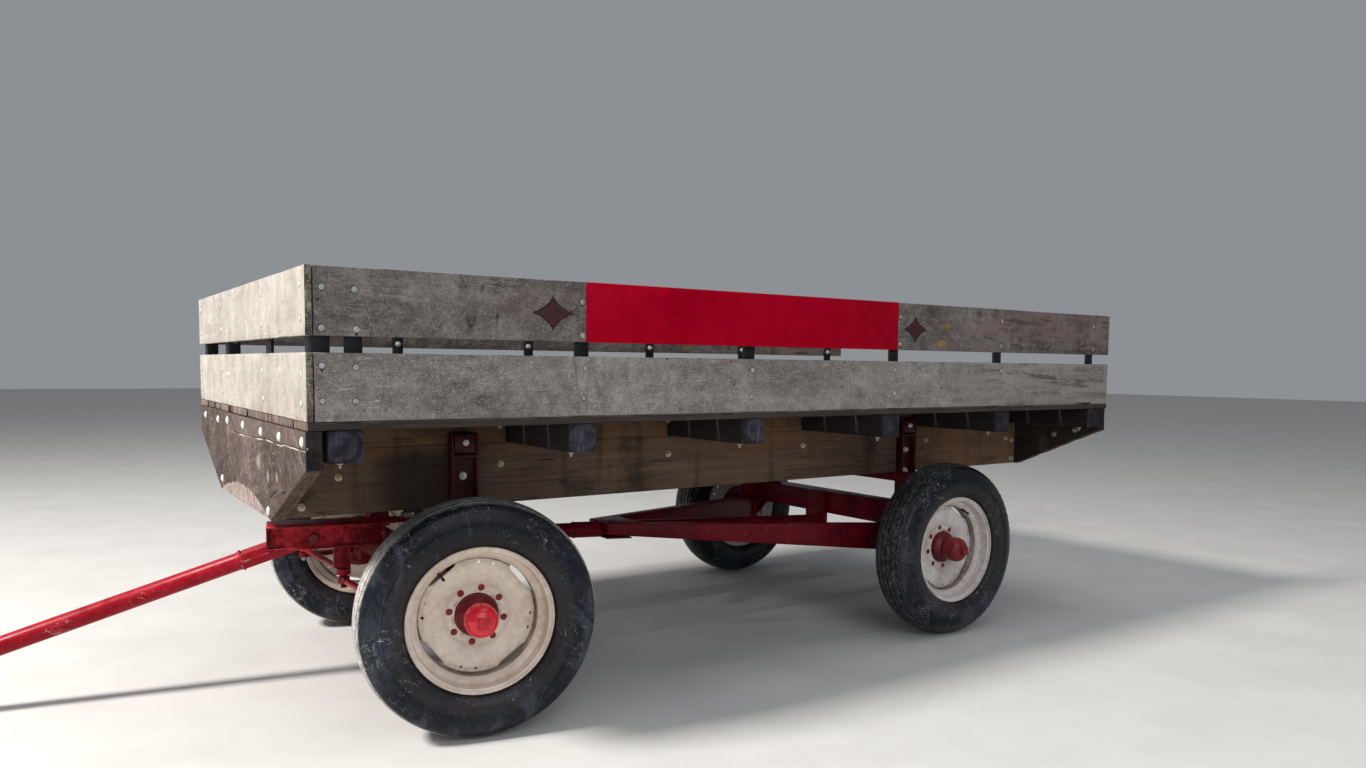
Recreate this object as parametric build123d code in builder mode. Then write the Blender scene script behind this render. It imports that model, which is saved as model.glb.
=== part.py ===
from build123d import *
import math
import os

# Hay wagon on a steerable four-wheel running gear. Millimetres, +Z up, +X towards the tongue,
# +Y to the wagon's left. The boards stand on three sides and leave the rear end open for loading.
# Lengths along the wagon are given from the outer face of the front
# panel, positive backwards (b), and turned into row X by X(b). Heights are given from a level
# LIFT above the ground, and every piece is raised by LIFT when it is written, so that the tyres
# stand on z = 0.

os.makedirs("parts", exist_ok=True)

# ---------------------------------------------------------------- driving dimensions
BED_L, BED_W = 3494.0, 1756.0          # over the boards
LIFT = 6.0
DECK_TOP, DECK_T = 949.0, 23.0
BOARD_T, BOARD_H, BOARD_GAP = 17.5, 177.0, 41.0
BOARD_IN = 2.5                         # the boards' outer faces stand this far inside the deck's edge
BOARD_BACK = BOARD_IN + BOARD_T        # and their inner faces this far
RED_T = 1.6                            # sheet on the upper side board's outer face
RED_B0, RED_B1 = 797.0, 2117.0         # red middle panel on the upper side board

SILL_W, SILL_H = 92.0, 86.0            # cross sills
MAIN_Y0, MAIN_Y1 = 346.0, 422.0        # main sills, inner and outer face
MAIN_BOT = 638.0
END_T = 44.0                           # end panels
POST_W, POST_T = 46.0, 9.0             # flat bars inside the side boards
FRONT_POST_W, FRONT_POST_T = 74.0, 8.0 # flat bars inside the front boards
CORNER_X, CORNER_Y, CORNER_T = 47.0, 63.0, 8.0   # angle irons in the front corners

FRONT_AXLE_B, REAR_AXLE_B = 545.0, 2592.0
KING_Y = 585.0                         # kingpins, each side of the centre line
WHEEL_Y = 727.0                        # wheel centre planes when straight
WHEEL_Z = 350.0
TYRE_R, TYRE_HALF = 356.0, 88.0
RIM_R, RIM_HALF = 220.0, 66.0
LUG_PCD, LUG_COUNT, LUG_R = 165.1, 8, 8.5
DISC_FACE = -6.0                       # outer face of the wheel disc, from the wheel's centre plane
HUB_BORE_R, SPINDLE_R = 26.06, 26.0

STEER = -12.0                          # how the wheels and the tongue stand, degrees about +Z
ARM_R = 220.0                          # steering arms, kingpin to rod eye, and king bolt to post
ARM_Z = 325.0

BR_W, BR_TOP, BR_BOT, BR_T = 136.0, 544.0, 463.0, 8.0
BR_FRONT = 467.0                       # bracket's front end, from the king bolt
TONGUE_PIN_R, TONGUE_PIN_Z = 11.0, 500.0
TONGUE_PIN_A = 318.0                   # tongue pin, from the king bolt
TONGUE_DROP = 17.9                     # degrees below level with the tip on the ground
BOX_W, BOX_H, BOX_L = 96.0, 50.0, 235.0
TUBE_R, TUBE_END = 30.15, 1445.0
HITCH_W, HITCH_T, HITCH_Z = 64.0, 12.0, 15.0
HITCH_PIN_R = 13.0

UP = Vector(0, 0, 1)
PSI = math.radians(STEER)
PHI = math.radians(TONGUE_DROP)
HITCH_TIP = (TONGUE_PIN_Z + LIFT - (HITCH_Z + HITCH_T) * math.cos(PHI)) / math.sin(PHI)

# how far the tongue's tip stands ahead of the king bolt, for an origin at the middle of the length
HITCH_R = HITCH_W / 2
tip_ahead = (
    TONGUE_PIN_A * math.cos(PSI)
    + (HITCH_TIP - HITCH_R) * math.cos(PHI) * math.cos(PSI)
    + HITCH_R * math.hypot(math.cos(PHI) * math.cos(PSI), math.sin(PSI))
    + (HITCH_Z + HITCH_T) * math.sin(PHI) * math.cos(PSI)
)
X0 = (BED_L + FRONT_AXLE_B - tip_ahead) / 2


def X(b):
    return X0 - b


def finish(builder, label):
    builder.part.label = label
    placed = builder.part.moved(Location((0, 0, LIFT)))
    placed.label = label
    export_step(placed, f"parts/{label}.step")


W2 = BED_W / 2
DECK_BOT = DECK_TOP - DECK_T
LOW0, LOW1 = DECK_TOP, DECK_TOP + BOARD_H
UP0 = LOW1 + BOARD_GAP
UP1 = UP0 + BOARD_H
SILL_BOT = DECK_BOT - SILL_H

# ---------------------------------------------------------------- bed
# deck planks, left to right: width, gap to the next
PLANKS = [
    (152, 7), (168, 6), (140, 8), (158, 5), (146, 7), (162, 6),
    (149, 8), (138, 6), (164, 7), (143, 6), (170, 0),
]
total = sum(w + g for w, g in PLANKS)
with BuildPart() as deck_planks:
    y = W2
    for width, gap in PLANKS:
        w = width * BED_W / total
        with Locations((X(BED_L / 2), y - w / 2, DECK_BOT + DECK_T / 2)):
            Box(BED_L, w, DECK_T)
        y -= (width + gap) * BED_W / total
finish(deck_planks, "deck_planks")

# cross sills: middle, from the front
CROSS = [100.0, 789.0, 1437.0, 2098.0, 2752.0, 3402.0]
with BuildPart() as cross_sills:
    for b in CROSS:
        with Locations((X(b), 0, SILL_BOT + SILL_H / 2)):
            Box(SILL_W, BED_W - 10, SILL_H)
finish(cross_sills, "cross_sills")

main_l = BED_L - 2 * END_T
with BuildPart() as main_sills:
    for side in (1, -1):
        with Locations((X(BED_L / 2), side * (MAIN_Y0 + MAIN_Y1) / 2, (MAIN_BOT + SILL_BOT) / 2)):
            Box(main_l, MAIN_Y1 - MAIN_Y0, SILL_BOT - MAIN_BOT)
finish(main_sills, "main_sills")

with BuildPart() as sill_blocks:
    for b0, b1 in zip(CROSS, CROSS[1:]):
        for side in (1, -1):
            with Locations((X((b0 + b1) / 2), side * (MAIN_Y0 + MAIN_Y1) / 2, (SILL_BOT + DECK_BOT) / 2)):
                Box(b1 - b0 - SILL_W, MAIN_Y1 - MAIN_Y0 - 4, SILL_H)
finish(sill_blocks, "sill_blocks")

# end panels: planks on edge with both lower corners cut off down to the main sills
with BuildPart() as end_panels:
    for b in (0.0, BED_L - END_T):
        with BuildSketch(Plane(origin=(X(b), 0, 0), x_dir=(0, 1, 0), z_dir=(1, 0, 0))):
            with BuildLine():
                Polyline(
                    (W2 - 8, DECK_BOT), (W2 - 8, 826), (432, MAIN_BOT), (-432, MAIN_BOT),
                    (-(W2 - 8), 826), (-(W2 - 8), DECK_BOT), close=True,
                )
            make_face()
        extrude(amount=-END_T)
finish(end_panels, "end_panels")

# side boards: from behind the front boards to the open rear end
SIDE_B0, SIDE_B1 = BOARD_BACK + 2, BED_L - BOARD_IN
for label, z0, z1 in (("side_lower_boards", LOW0, LOW1), ("side_upper_boards", UP0, UP1)):
    with BuildPart() as side_boards:
        for side in (1, -1):
            with Locations((X((SIDE_B0 + SIDE_B1) / 2), side * (W2 - BOARD_IN - BOARD_T / 2), (z0 + z1) / 2)):
                Box(SIDE_B1 - SIDE_B0, BOARD_T, z1 - z0)
    finish(side_boards, label)

with BuildPart() as side_red_panels:
    for side in (1, -1):
        with Locations((X((RED_B0 + RED_B1) / 2), side * (W2 - BOARD_IN + RED_T / 2), (UP0 + UP1) / 2)):
            Box(RED_B1 - RED_B0, RED_T, BOARD_H)
finish(side_red_panels, "side_red_panels")

for label, z0, z1 in (("front_lower_board", LOW0, LOW1), ("front_upper_board", UP0, UP1)):
    with BuildPart() as front_board:
        with Locations((X(BOARD_IN + BOARD_T / 2), 0, (z0 + z1) / 2)):
            Box(BOARD_T, BED_W - 2 * BOARD_IN, z1 - z0)
    finish(front_board, label)

# posts stand on the deck against the inside of the boards
POST_TOP = UP1 - 8
SIDE_POSTS = [126.0, 792.0, 1426.0, 2117.0, 2725.0, 3371.0]
with BuildPart() as side_posts:
    for b in SIDE_POSTS:
        for side in (1, -1):
            with Locations((X(b), side * (W2 - BOARD_BACK - POST_T / 2), (DECK_TOP + POST_TOP) / 2)):
                Box(POST_W, POST_T, POST_TOP - DECK_TOP)
finish(side_posts, "side_posts")

# front posts: two flat bars behind the front boards and an angle iron in each front corner
FRONT_POST_Y = 350.0
with BuildPart() as front_posts:
    inner = X(BOARD_BACK)
    for side in (1, -1):
        with Locations((inner - FRONT_POST_T / 2, side * FRONT_POST_Y, (DECK_TOP + POST_TOP) / 2)):
            Box(FRONT_POST_T, FRONT_POST_W, POST_TOP - DECK_TOP)
        y = W2 - BOARD_BACK
        with BuildSketch(Plane.XY.offset(DECK_TOP)):
            with BuildLine():
                Polyline(
                    (inner, side * y), (inner - CORNER_X, side * y), (inner - CORNER_X, side * (y - CORNER_T)),
                    (inner - CORNER_T, side * (y - CORNER_T)), (inner - CORNER_T, side * (y - CORNER_Y)),
                    (inner, side * (y - CORNER_Y)), close=True,
                )
            make_face()
        extrude(amount=POST_TOP - DECK_TOP)
finish(front_posts, "front_posts")

# ---------------------------------------------------------------- running gear fixed to the bed
BOLSTER_Z0, BOLSTER_W = 598.0, 100.0
STAKE_W, STAKE_T, STAKE_TOP = 90.0, 12.0, 877.0
FRONT_BOLSTER_B, REAR_BOLSTER_B = 585.0, 2655.0
for label, b in (("front_bolster", FRONT_BOLSTER_B), ("rear_bolster", REAR_BOLSTER_B)):
    with BuildPart() as bolster:
        with Locations((X(b), 0, (BOLSTER_Z0 + MAIN_BOT) / 2)):
            Box(BOLSTER_W, 2 * (MAIN_Y1 + 60), MAIN_BOT - BOLSTER_Z0)
    finish(bolster, label)

# stakes: channels standing on the bolster ends, back against the main sill, open outwards
with BuildPart() as stakes:
    for b in (FRONT_BOLSTER_B, REAR_BOLSTER_B):
        for side in (1, -1):
            with BuildSketch(Plane.XY.offset(MAIN_BOT)):
                with Locations((X(b), side * (MAIN_Y1 + 4))):
                    Rectangle(STAKE_W, 8)
                for e in (1, -1):
                    with Locations((X(b) + e * (STAKE_W / 2 - 4), side * (MAIN_Y1 + 19))):
                        Rectangle(8, 38)
            extrude(amount=STAKE_TOP - MAIN_BOT)
finish(stakes, "stakes")

# front axle: beam, neck and kingpin boss at each end, risers to the bolster, a raised seat for the
# steering bracket, yoke for the reach
FA_X = X(FRONT_AXLE_B)
FB0, FB1 = 360.0, 450.0
BOSS_R, BOSS_Z0, BOSS_Z1 = 32.0, 300.0, 420.0
KINGPIN_R = 16.0
with BuildPart() as front_axle:
    with Locations((FA_X, 0, (FB0 + FB1) / 2)):
        Box(90, 2 * 515, FB1 - FB0)
    for side in (1, -1):
        with Locations((FA_X, side * 545, (BOSS_Z0 + BOSS_Z1) / 2)):
            Box(50, 70, BOSS_Z1 - BOSS_Z0)
        with Locations((FA_X, side * KING_Y, (BOSS_Z0 + BOSS_Z1) / 2)):
            Cylinder(BOSS_R, BOSS_Z1 - BOSS_Z0)
        with Locations((X(FRONT_BOLSTER_B) + 12, side * 452, (FB1 + BOLSTER_Z0) / 2)):
            Box(76, 60, BOLSTER_Z0 - FB1)
    with Locations((FA_X, 0, (FB1 + BR_BOT - 0.5) / 2)):
        Cylinder(36, BR_BOT - 0.5 - FB1)
    with Locations((X(FRONT_AXLE_B + 83), 0, 427)):
        Box(76, 84, 46)
    with Locations((X(FRONT_AXLE_B + 97), 0, 476)):
        Box(48, 84, 60)
    for side in (1, -1):
        with Locations((FA_X, side * KING_Y, (BOSS_Z0 + BOSS_Z1) / 2)):
            Cylinder(KINGPIN_R + 0.06, BOSS_Z1 - BOSS_Z0 + 2, mode=Mode.SUBTRACT)
    with Locations((FA_X, 0, (FB0 + BR_BOT) / 2)):
        Cylinder(14, BR_BOT - FB0 + 2, mode=Mode.SUBTRACT)
finish(front_axle, "front_axle")

# king bolt that the steering bracket swings on, with its head above the bracket
with BuildPart() as king_bolt:
    with Locations((FA_X, 0, (FB0 - 24 + BR_TOP + 6) / 2)):
        Cylinder(14, BR_TOP + 6 - FB0 + 24)
    with Locations((FA_X, 0, BR_TOP + 6 + 8)):
        Cylinder(24, 16)
    with BuildSketch(Plane(origin=(FA_X, 0, FB0 - 20))):
        RegularPolygon(24, 6)
    extrude(amount=19.5)
finish(king_bolt, "king_bolt")

# rear axle: beam, end plates that carry the spindles, risers to the bolster, hangers for the hounds,
# centre post for the reach
RA_X = X(REAR_AXLE_B)
RB0, RB1 = 411.0, 511.0
HOUND_Z1 = 310.0                       # lower edge of the hounds at the axle
with BuildPart() as rear_axle:
    with Locations((RA_X, 0, (RB0 + RB1) / 2)):
        Box(100, 2 * 612, RB1 - RB0)
    for side in (1, -1):
        with Locations((RA_X, side * 595, (300 + RB1) / 2)):
            Box(90, 34, RB1 - 300)
        with Locations((X(REAR_BOLSTER_B) + 20, side * 452, (RB1 + BOLSTER_Z0) / 2)):
            Box(60, 60, BOLSTER_Z0 - RB1)
        with BuildSketch(Plane(origin=(RA_X, side * 612, WHEEL_Z), x_dir=(1, 0, 0), z_dir=(0, side, 0))):
            Circle(SPINDLE_R)
        extrude(amount=WHEEL_Y - 612 + 40)
        with Locations((RA_X + 41, side * 523, (HOUND_Z1 + RB0) / 2)):
            Box(18, 62, RB0 - HOUND_Z1)
    with Locations((RA_X + 62, 0, 421)):
        Box(24, 124, 188)
finish(rear_axle, "rear_axle")

# reach: a tube from the front yoke down to the rear axle's centre post
REACH_R, REACH_B0, REACH_B1 = 32.0, FRONT_AXLE_B + 121, REAR_AXLE_B - 74
REACH_Z0, REACH_SLOPE = 470.0, 0.056
with BuildPart() as reach:
    with BuildSketch(Plane(origin=(X(REACH_B0), 0, REACH_Z0), x_dir=(0, 1, 0), z_dir=(1, 0, 0))):
        Circle(REACH_R)
    extrude(amount=(REACH_B1 - REACH_B0) * math.hypot(1, REACH_SLOPE), dir=(-1, 0, -REACH_SLOPE))
finish(reach, "reach")

# hounds: two arms that spread from the reach to the ends of the rear axle and deepen towards it
HOUND = [  # b, inner y, top z, bottom z
    (1335.0, 34.0, 465.0, 419.0),
    (REAR_AXLE_B - 50, 500.0, 429.0, HOUND_Z1),
]
HOUND_T = 46.0
with BuildPart() as hounds:
    (b0, y0, t0, u0), (b1, y1, t1, u1) = HOUND
    for side in (1, -1):
        with BuildSketch(Plane.XY.offset(u1)):
            with BuildLine():
                Polyline(
                    (X(b0), side * y0), (X(b0), side * (y0 + HOUND_T)),
                    (X(b1), side * (y1 + HOUND_T)), (X(b1), side * y1), close=True,
                )
            make_face()
        extrude(amount=t0 - u1)
    with BuildSketch(Plane.XZ.offset(-700)):
        with BuildLine():
            Polyline((X(b0) + 5, u0 - 200), (X(b0) + 5, u0), (X(b0), u0), (X(b1), u1), (X(b1), u1 - 200), close=True)
        make_face()
        with BuildLine():
            Polyline((X(b0) + 5, t0 + 200), (X(b0) + 5, t0), (X(b0), t0), (X(b1), t1), (X(b1), t1 + 200), close=True)
        make_face()
    extrude(amount=1400, mode=Mode.SUBTRACT)
finish(hounds, "hounds")

# ---------------------------------------------------------------- steering
# the bracket's own frame: origin on the king bolt at ground level, x towards the tongue
arm_dir = Vector(math.cos(PSI), math.sin(PSI), 0)
side_dir = Vector(-math.sin(PSI), math.cos(PSI), 0)
king = Vector(FA_X, 0, 0)


def steer_plane(z):
    return Plane(origin=(FA_X, 0, z), x_dir=tuple(arm_dir), z_dir=(0, 0, 1))


EYE_R = 42.0
POST_BOT, STEP_Z = 382.0, 349.0        # block's lower face, and where the neck steps down to the pin
NECK_R, PIN_R = 14.0, 10.0
with BuildPart() as steering_bracket:
    # top plate with a rounded eye at the king bolt
    for z in (BR_TOP - BR_T, BR_BOT):
        with BuildSketch(steer_plane(z)):
            Circle(EYE_R)
            with BuildLine():
                Polyline((0, EYE_R), (90, BR_W / 2), (200 if z == BR_BOT else BR_FRONT, BR_W / 2),
                         (200 if z == BR_BOT else BR_FRONT, -BR_W / 2), (90, -BR_W / 2), (0, -EYE_R), close=True)
            make_face()
            Circle(14.06, mode=Mode.SUBTRACT)
        extrude(amount=BR_T)
    for s in (1, -1):
        with BuildSketch(steer_plane(BR_BOT)):
            with Locations(((80 + BR_FRONT) / 2, s * (BR_W / 2 - BR_T / 2))):
                Rectangle(BR_FRONT - 80, BR_T)
        extrude(amount=BR_TOP - BR_BOT)
    # post that carries the inner ends of the tie rods: square block, round neck, thinner pin
    for z0, z1, r in ((POST_BOT, BR_BOT, 0), (STEP_Z, POST_BOT, NECK_R), (STEP_Z - 42, STEP_Z, PIN_R)):
        with BuildSketch(steer_plane(z0)):
            with Locations((ARM_R + (5 if r == 0 else 0), 0)):
                if r == 0:
                    Rectangle(56, 56)
                else:
                    Circle(r)
        extrude(amount=z1 - z0)
    # short web under the bracket between its sides, where the post is welded on
    with BuildSketch(steer_plane(BR_BOT)):
        with Locations((ARM_R + 5, 0)):
            Rectangle(72, BR_W - 2 * BR_T)
    extrude(amount=6)
    # bore for the tongue pin through both sides
    with BuildSketch(Plane(origin=tuple(king + arm_dir * TONGUE_PIN_A + side_dir * BR_W + UP * TONGUE_PIN_Z),
                           x_dir=tuple(arm_dir), z_dir=tuple(side_dir))):
        Circle(TONGUE_PIN_R)
    extrude(amount=-2 * BR_W, mode=Mode.SUBTRACT)
finish(steering_bracket, "steering_bracket")

pin_plane = Plane(origin=tuple(king + arm_dir * TONGUE_PIN_A + UP * TONGUE_PIN_Z), x_dir=tuple(arm_dir), z_dir=tuple(side_dir))
with BuildPart() as tongue_pin:
    with BuildSketch(pin_plane.offset(-BR_W / 2 - 14)):
        Circle(TONGUE_PIN_R)
    extrude(amount=BR_W + 14)
    with BuildSketch(pin_plane.offset(BR_W / 2)):
        Circle(19)
    extrude(amount=9)
finish(tongue_pin, "tongue_pin")

# tongue, in its own frame: origin on the pin, x down the tongue, z square to it
tongue_x = arm_dir * math.cos(PHI) - UP * math.sin(PHI)
tongue_side = Plane(origin=pin_plane.origin, x_dir=tuple(tongue_x), z_dir=tuple(side_dir * -1))
tongue_flat = Plane(origin=pin_plane.origin, x_dir=tuple(tongue_x), z_dir=tuple(tongue_x.cross(side_dir)))
tongue_end = Plane(origin=pin_plane.origin, x_dir=tuple(side_dir), z_dir=tuple(tongue_x))

with BuildPart() as tongue_socket:
    with BuildSketch(tongue_side.offset(-BOX_W / 2)):
        Circle(BOX_H / 2)
        with Locations((BOX_L / 2, 0)):
            Rectangle(BOX_L, BOX_H)
        Circle(TONGUE_PIN_R + 0.06, mode=Mode.SUBTRACT)
    extrude(amount=BOX_W)
finish(tongue_socket, "tongue_socket")

with BuildPart() as tongue_tube:
    with BuildSketch(tongue_end.offset(BOX_L)):
        Circle(TUBE_R)
    extrude(amount=TUBE_END - BOX_L)
finish(tongue_tube, "tongue_tube")

# hitch: two flat jaws with a drawbar pin hole, closed by a block behind
with BuildPart() as tongue_hitch:
    with BuildSketch(tongue_flat.offset(-(HITCH_Z + HITCH_T))):
        with Locations((HITCH_TIP - HITCH_R, 0)):
            Circle(HITCH_R)
        with Locations(((TUBE_END + HITCH_TIP - HITCH_R) / 2, 0)):
            Rectangle(HITCH_TIP - HITCH_R - TUBE_END, HITCH_W)
        with Locations((HITCH_TIP - HITCH_R, 0)):
            Circle(HITCH_PIN_R, mode=Mode.SUBTRACT)
    extrude(amount=2 * (HITCH_Z + HITCH_T))
    with BuildSketch(tongue_flat.offset(-HITCH_Z)):
        with Locations((TUBE_END + 24 + 100, 0)):
            Rectangle(200, HITCH_W + 4)
    extrude(amount=2 * HITCH_Z, mode=Mode.SUBTRACT)
finish(tongue_hitch, "tongue_hitch")

# knuckles: fork around the axle boss, spindle and steering arm
KNUCKLES = [("left", 1), ("right", -1)]
FORK_GAP = 6.0
for label, side in KNUCKLES:
    # outward direction of the turned wheel
    out = side_dir * side
    pivot = Vector(FA_X, side * KING_Y, 0)
    base = lambda z: Plane(origin=(pivot.X, pivot.Y, z), x_dir=tuple(arm_dir), z_dir=(0, 0, 1))
    with BuildPart() as knuckle:
        for z0, z1 in ((BOSS_Z1 + FORK_GAP, BOSS_Z1 + FORK_GAP + 18), (BOSS_Z0 - FORK_GAP - 18, BOSS_Z0 - FORK_GAP)):
            with BuildSketch(base(z0)):
                Circle(30)
                with Locations((0, side * 30)):
                    Rectangle(60, 60)
            extrude(amount=z1 - z0)
        with BuildSketch(base(BOSS_Z0 - FORK_GAP - 18)):
            with Locations((0, side * 51)):
                Rectangle(60, 22)
        extrude(amount=BOSS_Z1 - BOSS_Z0 + 2 * FORK_GAP + 36)
        with BuildSketch(Plane(origin=tuple(pivot + out * 62 + UP * WHEEL_Z), x_dir=tuple(arm_dir), z_dir=tuple(out))):
            Circle(SPINDLE_R)
        extrude(amount=WHEEL_Y - KING_Y - 62 + 40)
        with BuildSketch(base(ARM_Z - 8)):
            with BuildLine():
                Polyline((20, side * 40), (20, side * 60), (60, side * 50), (ARM_R, side * 16), (ARM_R, -side * 16), (60, side * 14), close=True)
            make_face()
            with Locations((ARM_R, 0)):
                Circle(20)
        extrude(amount=16)
        with BuildSketch(base(ARM_Z + 8)):
            with Locations((ARM_R, 0)):
                Circle(8)
        extrude(amount=30)
        with BuildSketch(base(BOSS_Z0 - FORK_GAP - 20)):
            Circle(KINGPIN_R)
        extrude(amount=BOSS_Z1 - BOSS_Z0 + 2 * FORK_GAP + 44, mode=Mode.SUBTRACT)
    finish(knuckle, f"{label}_knuckle")
    with BuildPart() as kingpin:
        with BuildSketch(base(BOSS_Z0 - FORK_GAP - 18)):
            Circle(KINGPIN_R)
        extrude(amount=BOSS_Z1 - BOSS_Z0 + 2 * FORK_GAP + 36)
        with BuildSketch(base(BOSS_Z1 + FORK_GAP + 18)):
            Circle(22)
        extrude(amount=8)
    finish(kingpin, f"{label}_kingpin")

# tie rods: outer eye on the arm's pin, inner eye on the post; z of the inner eye
ROD_R = 12.0
ROD_EYE_Z = ARM_Z + 26
post = king + arm_dir * ARM_R
for label, side, z_in, bore, ring in (("left", 1, 334.0, PIN_R + 0.06, 21.0), ("right", -1, 365.0, NECK_R + 0.06, 25.0)):
    a = Vector(FA_X, side * KING_Y, 0) + arm_dir * ARM_R + UP * ROD_EYE_Z
    c = post + UP * z_in
    d = (c - a).normalized()
    flat = Vector(0, -side, 0)
    length = (c - a).length
    with BuildPart() as tie_rod:
        with BuildSketch(Plane(origin=tuple(a + d * 16), z_dir=tuple(d), x_dir=(1, 0, 0))):
            Circle(ROD_R)
        extrude(amount=length - 16 - ring + 4)
        for p, r in ((a, 18.0), (c, ring)):
            with BuildSketch(Plane(origin=tuple(p - UP * 12), x_dir=(1, 0, 0), z_dir=(0, 0, 1))):
                Circle(r)
            extrude(amount=24)
        for p, r in ((a, 8.06), (c, bore)):
            with BuildSketch(Plane(origin=tuple(p - UP * 30), x_dir=(1, 0, 0), z_dir=(0, 0, 1))):
                Circle(r)
            extrude(amount=60, mode=Mode.SUBTRACT)
    finish(tie_rod, f"{label}_tie_rod")

# ---------------------------------------------------------------- wheels
# label, axle point, outward direction
WHEELS = [
    ("front_left", Vector(FA_X, KING_Y, WHEEL_Z) + side_dir * (WHEEL_Y - KING_Y), side_dir),
    ("front_right", Vector(FA_X, -KING_Y, WHEEL_Z) - side_dir * (WHEEL_Y - KING_Y), side_dir * -1),
    ("rear_left", Vector(RA_X, WHEEL_Y, WHEEL_Z), Vector(0, 1, 0)),
    ("rear_right", Vector(RA_X, -WHEEL_Y, WHEEL_Z), Vector(0, -1, 0)),
]

# profiles as (s, r): s outwards along the axle from the wheel's centre plane, r from the axle
TYRE_PROFILE = [(-57.4, 222), (-68, 223), (-80, 240), (-86, 264), (-88, 288), (-82, 316), (-72, 335), (-60, 346),
                (-40, 353), (0, 356), (40, 353), (60, 346), (72, 335), (82, 316), (88, 288), (86, 264), (80, 240),
                (68, 223), (57.4, 222), (56, 205.2), (-56, 205.2)]
RIM_PROFILE = [(-66, 214), (-63, 220), (-59, 219), (-57, 204.5), (-38, 203.5), (-30, 180), (12, 180), (24, 203.5),
               (57, 204.5), (59, 219), (63, 220), (66, 214), (63, 199), (29, 197), (16, 173), (-34, 173),
               (-43, 197), (-63, 199)]
DISC_OUT_R = 174.0
for label, centre, out in WHEELS:
    section = Plane(origin=tuple(centre), x_dir=tuple(out), z_dir=tuple(out.cross(UP)))
    axis = Axis(tuple(centre), tuple(out))
    face = Plane(origin=tuple(centre), x_dir=tuple(out.cross(UP)), z_dir=tuple(out))

    with BuildPart() as tyre:
        with BuildSketch(section):
            with BuildLine():
                Polyline(*TYRE_PROFILE, close=True)
            make_face()
        revolve(axis=axis)
    finish(tyre, f"{label}_tyre")

    # rim and disc in one: a dished disc with lug holes, four flats and four pairs of small holes
    with BuildPart() as wheel:
        with BuildSketch(section):
            with BuildLine():
                Polyline(*RIM_PROFILE, close=True)
            make_face()
        revolve(axis=axis)
        with BuildSketch(section):
            with BuildLine():
                Polyline((DISC_FACE - 12, 66), (DISC_FACE - 12, 108), (DISC_FACE, 128), (DISC_FACE, 160), (DISC_FACE - 7, DISC_OUT_R),
                         (DISC_FACE - 14, DISC_OUT_R), (DISC_FACE - 7, 158), (DISC_FACE - 7, 131),
                         (DISC_FACE - 19, 110), (DISC_FACE - 19, 66), close=True)
            make_face()
        revolve(axis=axis)
        with BuildSketch(face.offset(DISC_FACE - 30)):
            with PolarLocations(LUG_PCD / 2, LUG_COUNT):
                Circle(LUG_R)
        extrude(amount=40, mode=Mode.SUBTRACT)
        with BuildSketch(face.offset(DISC_FACE - 20)):
            with PolarLocations(164.5, 4):
                Rectangle(12, 84)
        extrude(amount=26, mode=Mode.SUBTRACT)
        with BuildSketch(face.offset(DISC_FACE - 20)):
            for start in (39, 51):
                with PolarLocations(157, 4, start_angle=start):
                    Circle(5)
        extrude(amount=26, mode=Mode.SUBTRACT)
    finish(wheel, f"{label}_wheel")

    # hub: flange behind the disc, barrel through it, cap with a rounded end and a square boss
    with BuildPart() as hub:
        with BuildSketch(section):
            with BuildLine():
                Polyline((-62, HUB_BORE_R), (-62, 52), (-44, 58), (DISC_FACE - 33, 62), (DISC_FACE - 33, 104), (DISC_FACE - 19, 104),
                         (DISC_FACE - 19, 65), (4, 63), (13, 45), (22, 44), (28, 50), (62, 50))
                ThreePointArc((62, 50), (88, 36), (99, 12))
                Polyline((99, 12), (99, 0), (42, 0), (42, HUB_BORE_R), (-62, HUB_BORE_R))
            make_face()
        revolve(axis=axis)
        with BuildSketch(face.offset(90)):
            Rectangle(30, 30)
        extrude(amount=20)
        with BuildSketch(face.offset(DISC_FACE - 19)):
            with PolarLocations(LUG_PCD / 2, LUG_COUNT):
                Circle(LUG_R)
        extrude(amount=16)
    finish(hub, f"{label}_hub")

print("X0", round(X0, 3), "tip ahead", round(tip_ahead, 3), "hitch tip", round(HITCH_TIP, 2))
print("king bolt x", round(FA_X, 3), "rear axle x", round(RA_X, 3))
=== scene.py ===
import math
import random

import bmesh
import bpy
from mathutils import Matrix, Vector, noise


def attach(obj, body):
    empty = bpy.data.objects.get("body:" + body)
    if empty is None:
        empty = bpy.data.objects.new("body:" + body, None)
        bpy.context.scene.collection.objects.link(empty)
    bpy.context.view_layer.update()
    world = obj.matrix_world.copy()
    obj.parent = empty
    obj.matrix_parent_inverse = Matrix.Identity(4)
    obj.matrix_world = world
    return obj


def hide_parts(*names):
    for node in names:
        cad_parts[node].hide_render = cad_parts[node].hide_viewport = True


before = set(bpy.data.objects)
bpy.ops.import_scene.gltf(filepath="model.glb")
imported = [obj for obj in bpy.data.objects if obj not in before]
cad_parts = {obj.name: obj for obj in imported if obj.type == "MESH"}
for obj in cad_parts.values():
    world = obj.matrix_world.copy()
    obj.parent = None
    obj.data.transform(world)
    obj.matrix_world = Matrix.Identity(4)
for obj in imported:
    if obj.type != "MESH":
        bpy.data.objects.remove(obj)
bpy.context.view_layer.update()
rng = random.Random(11)

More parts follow.
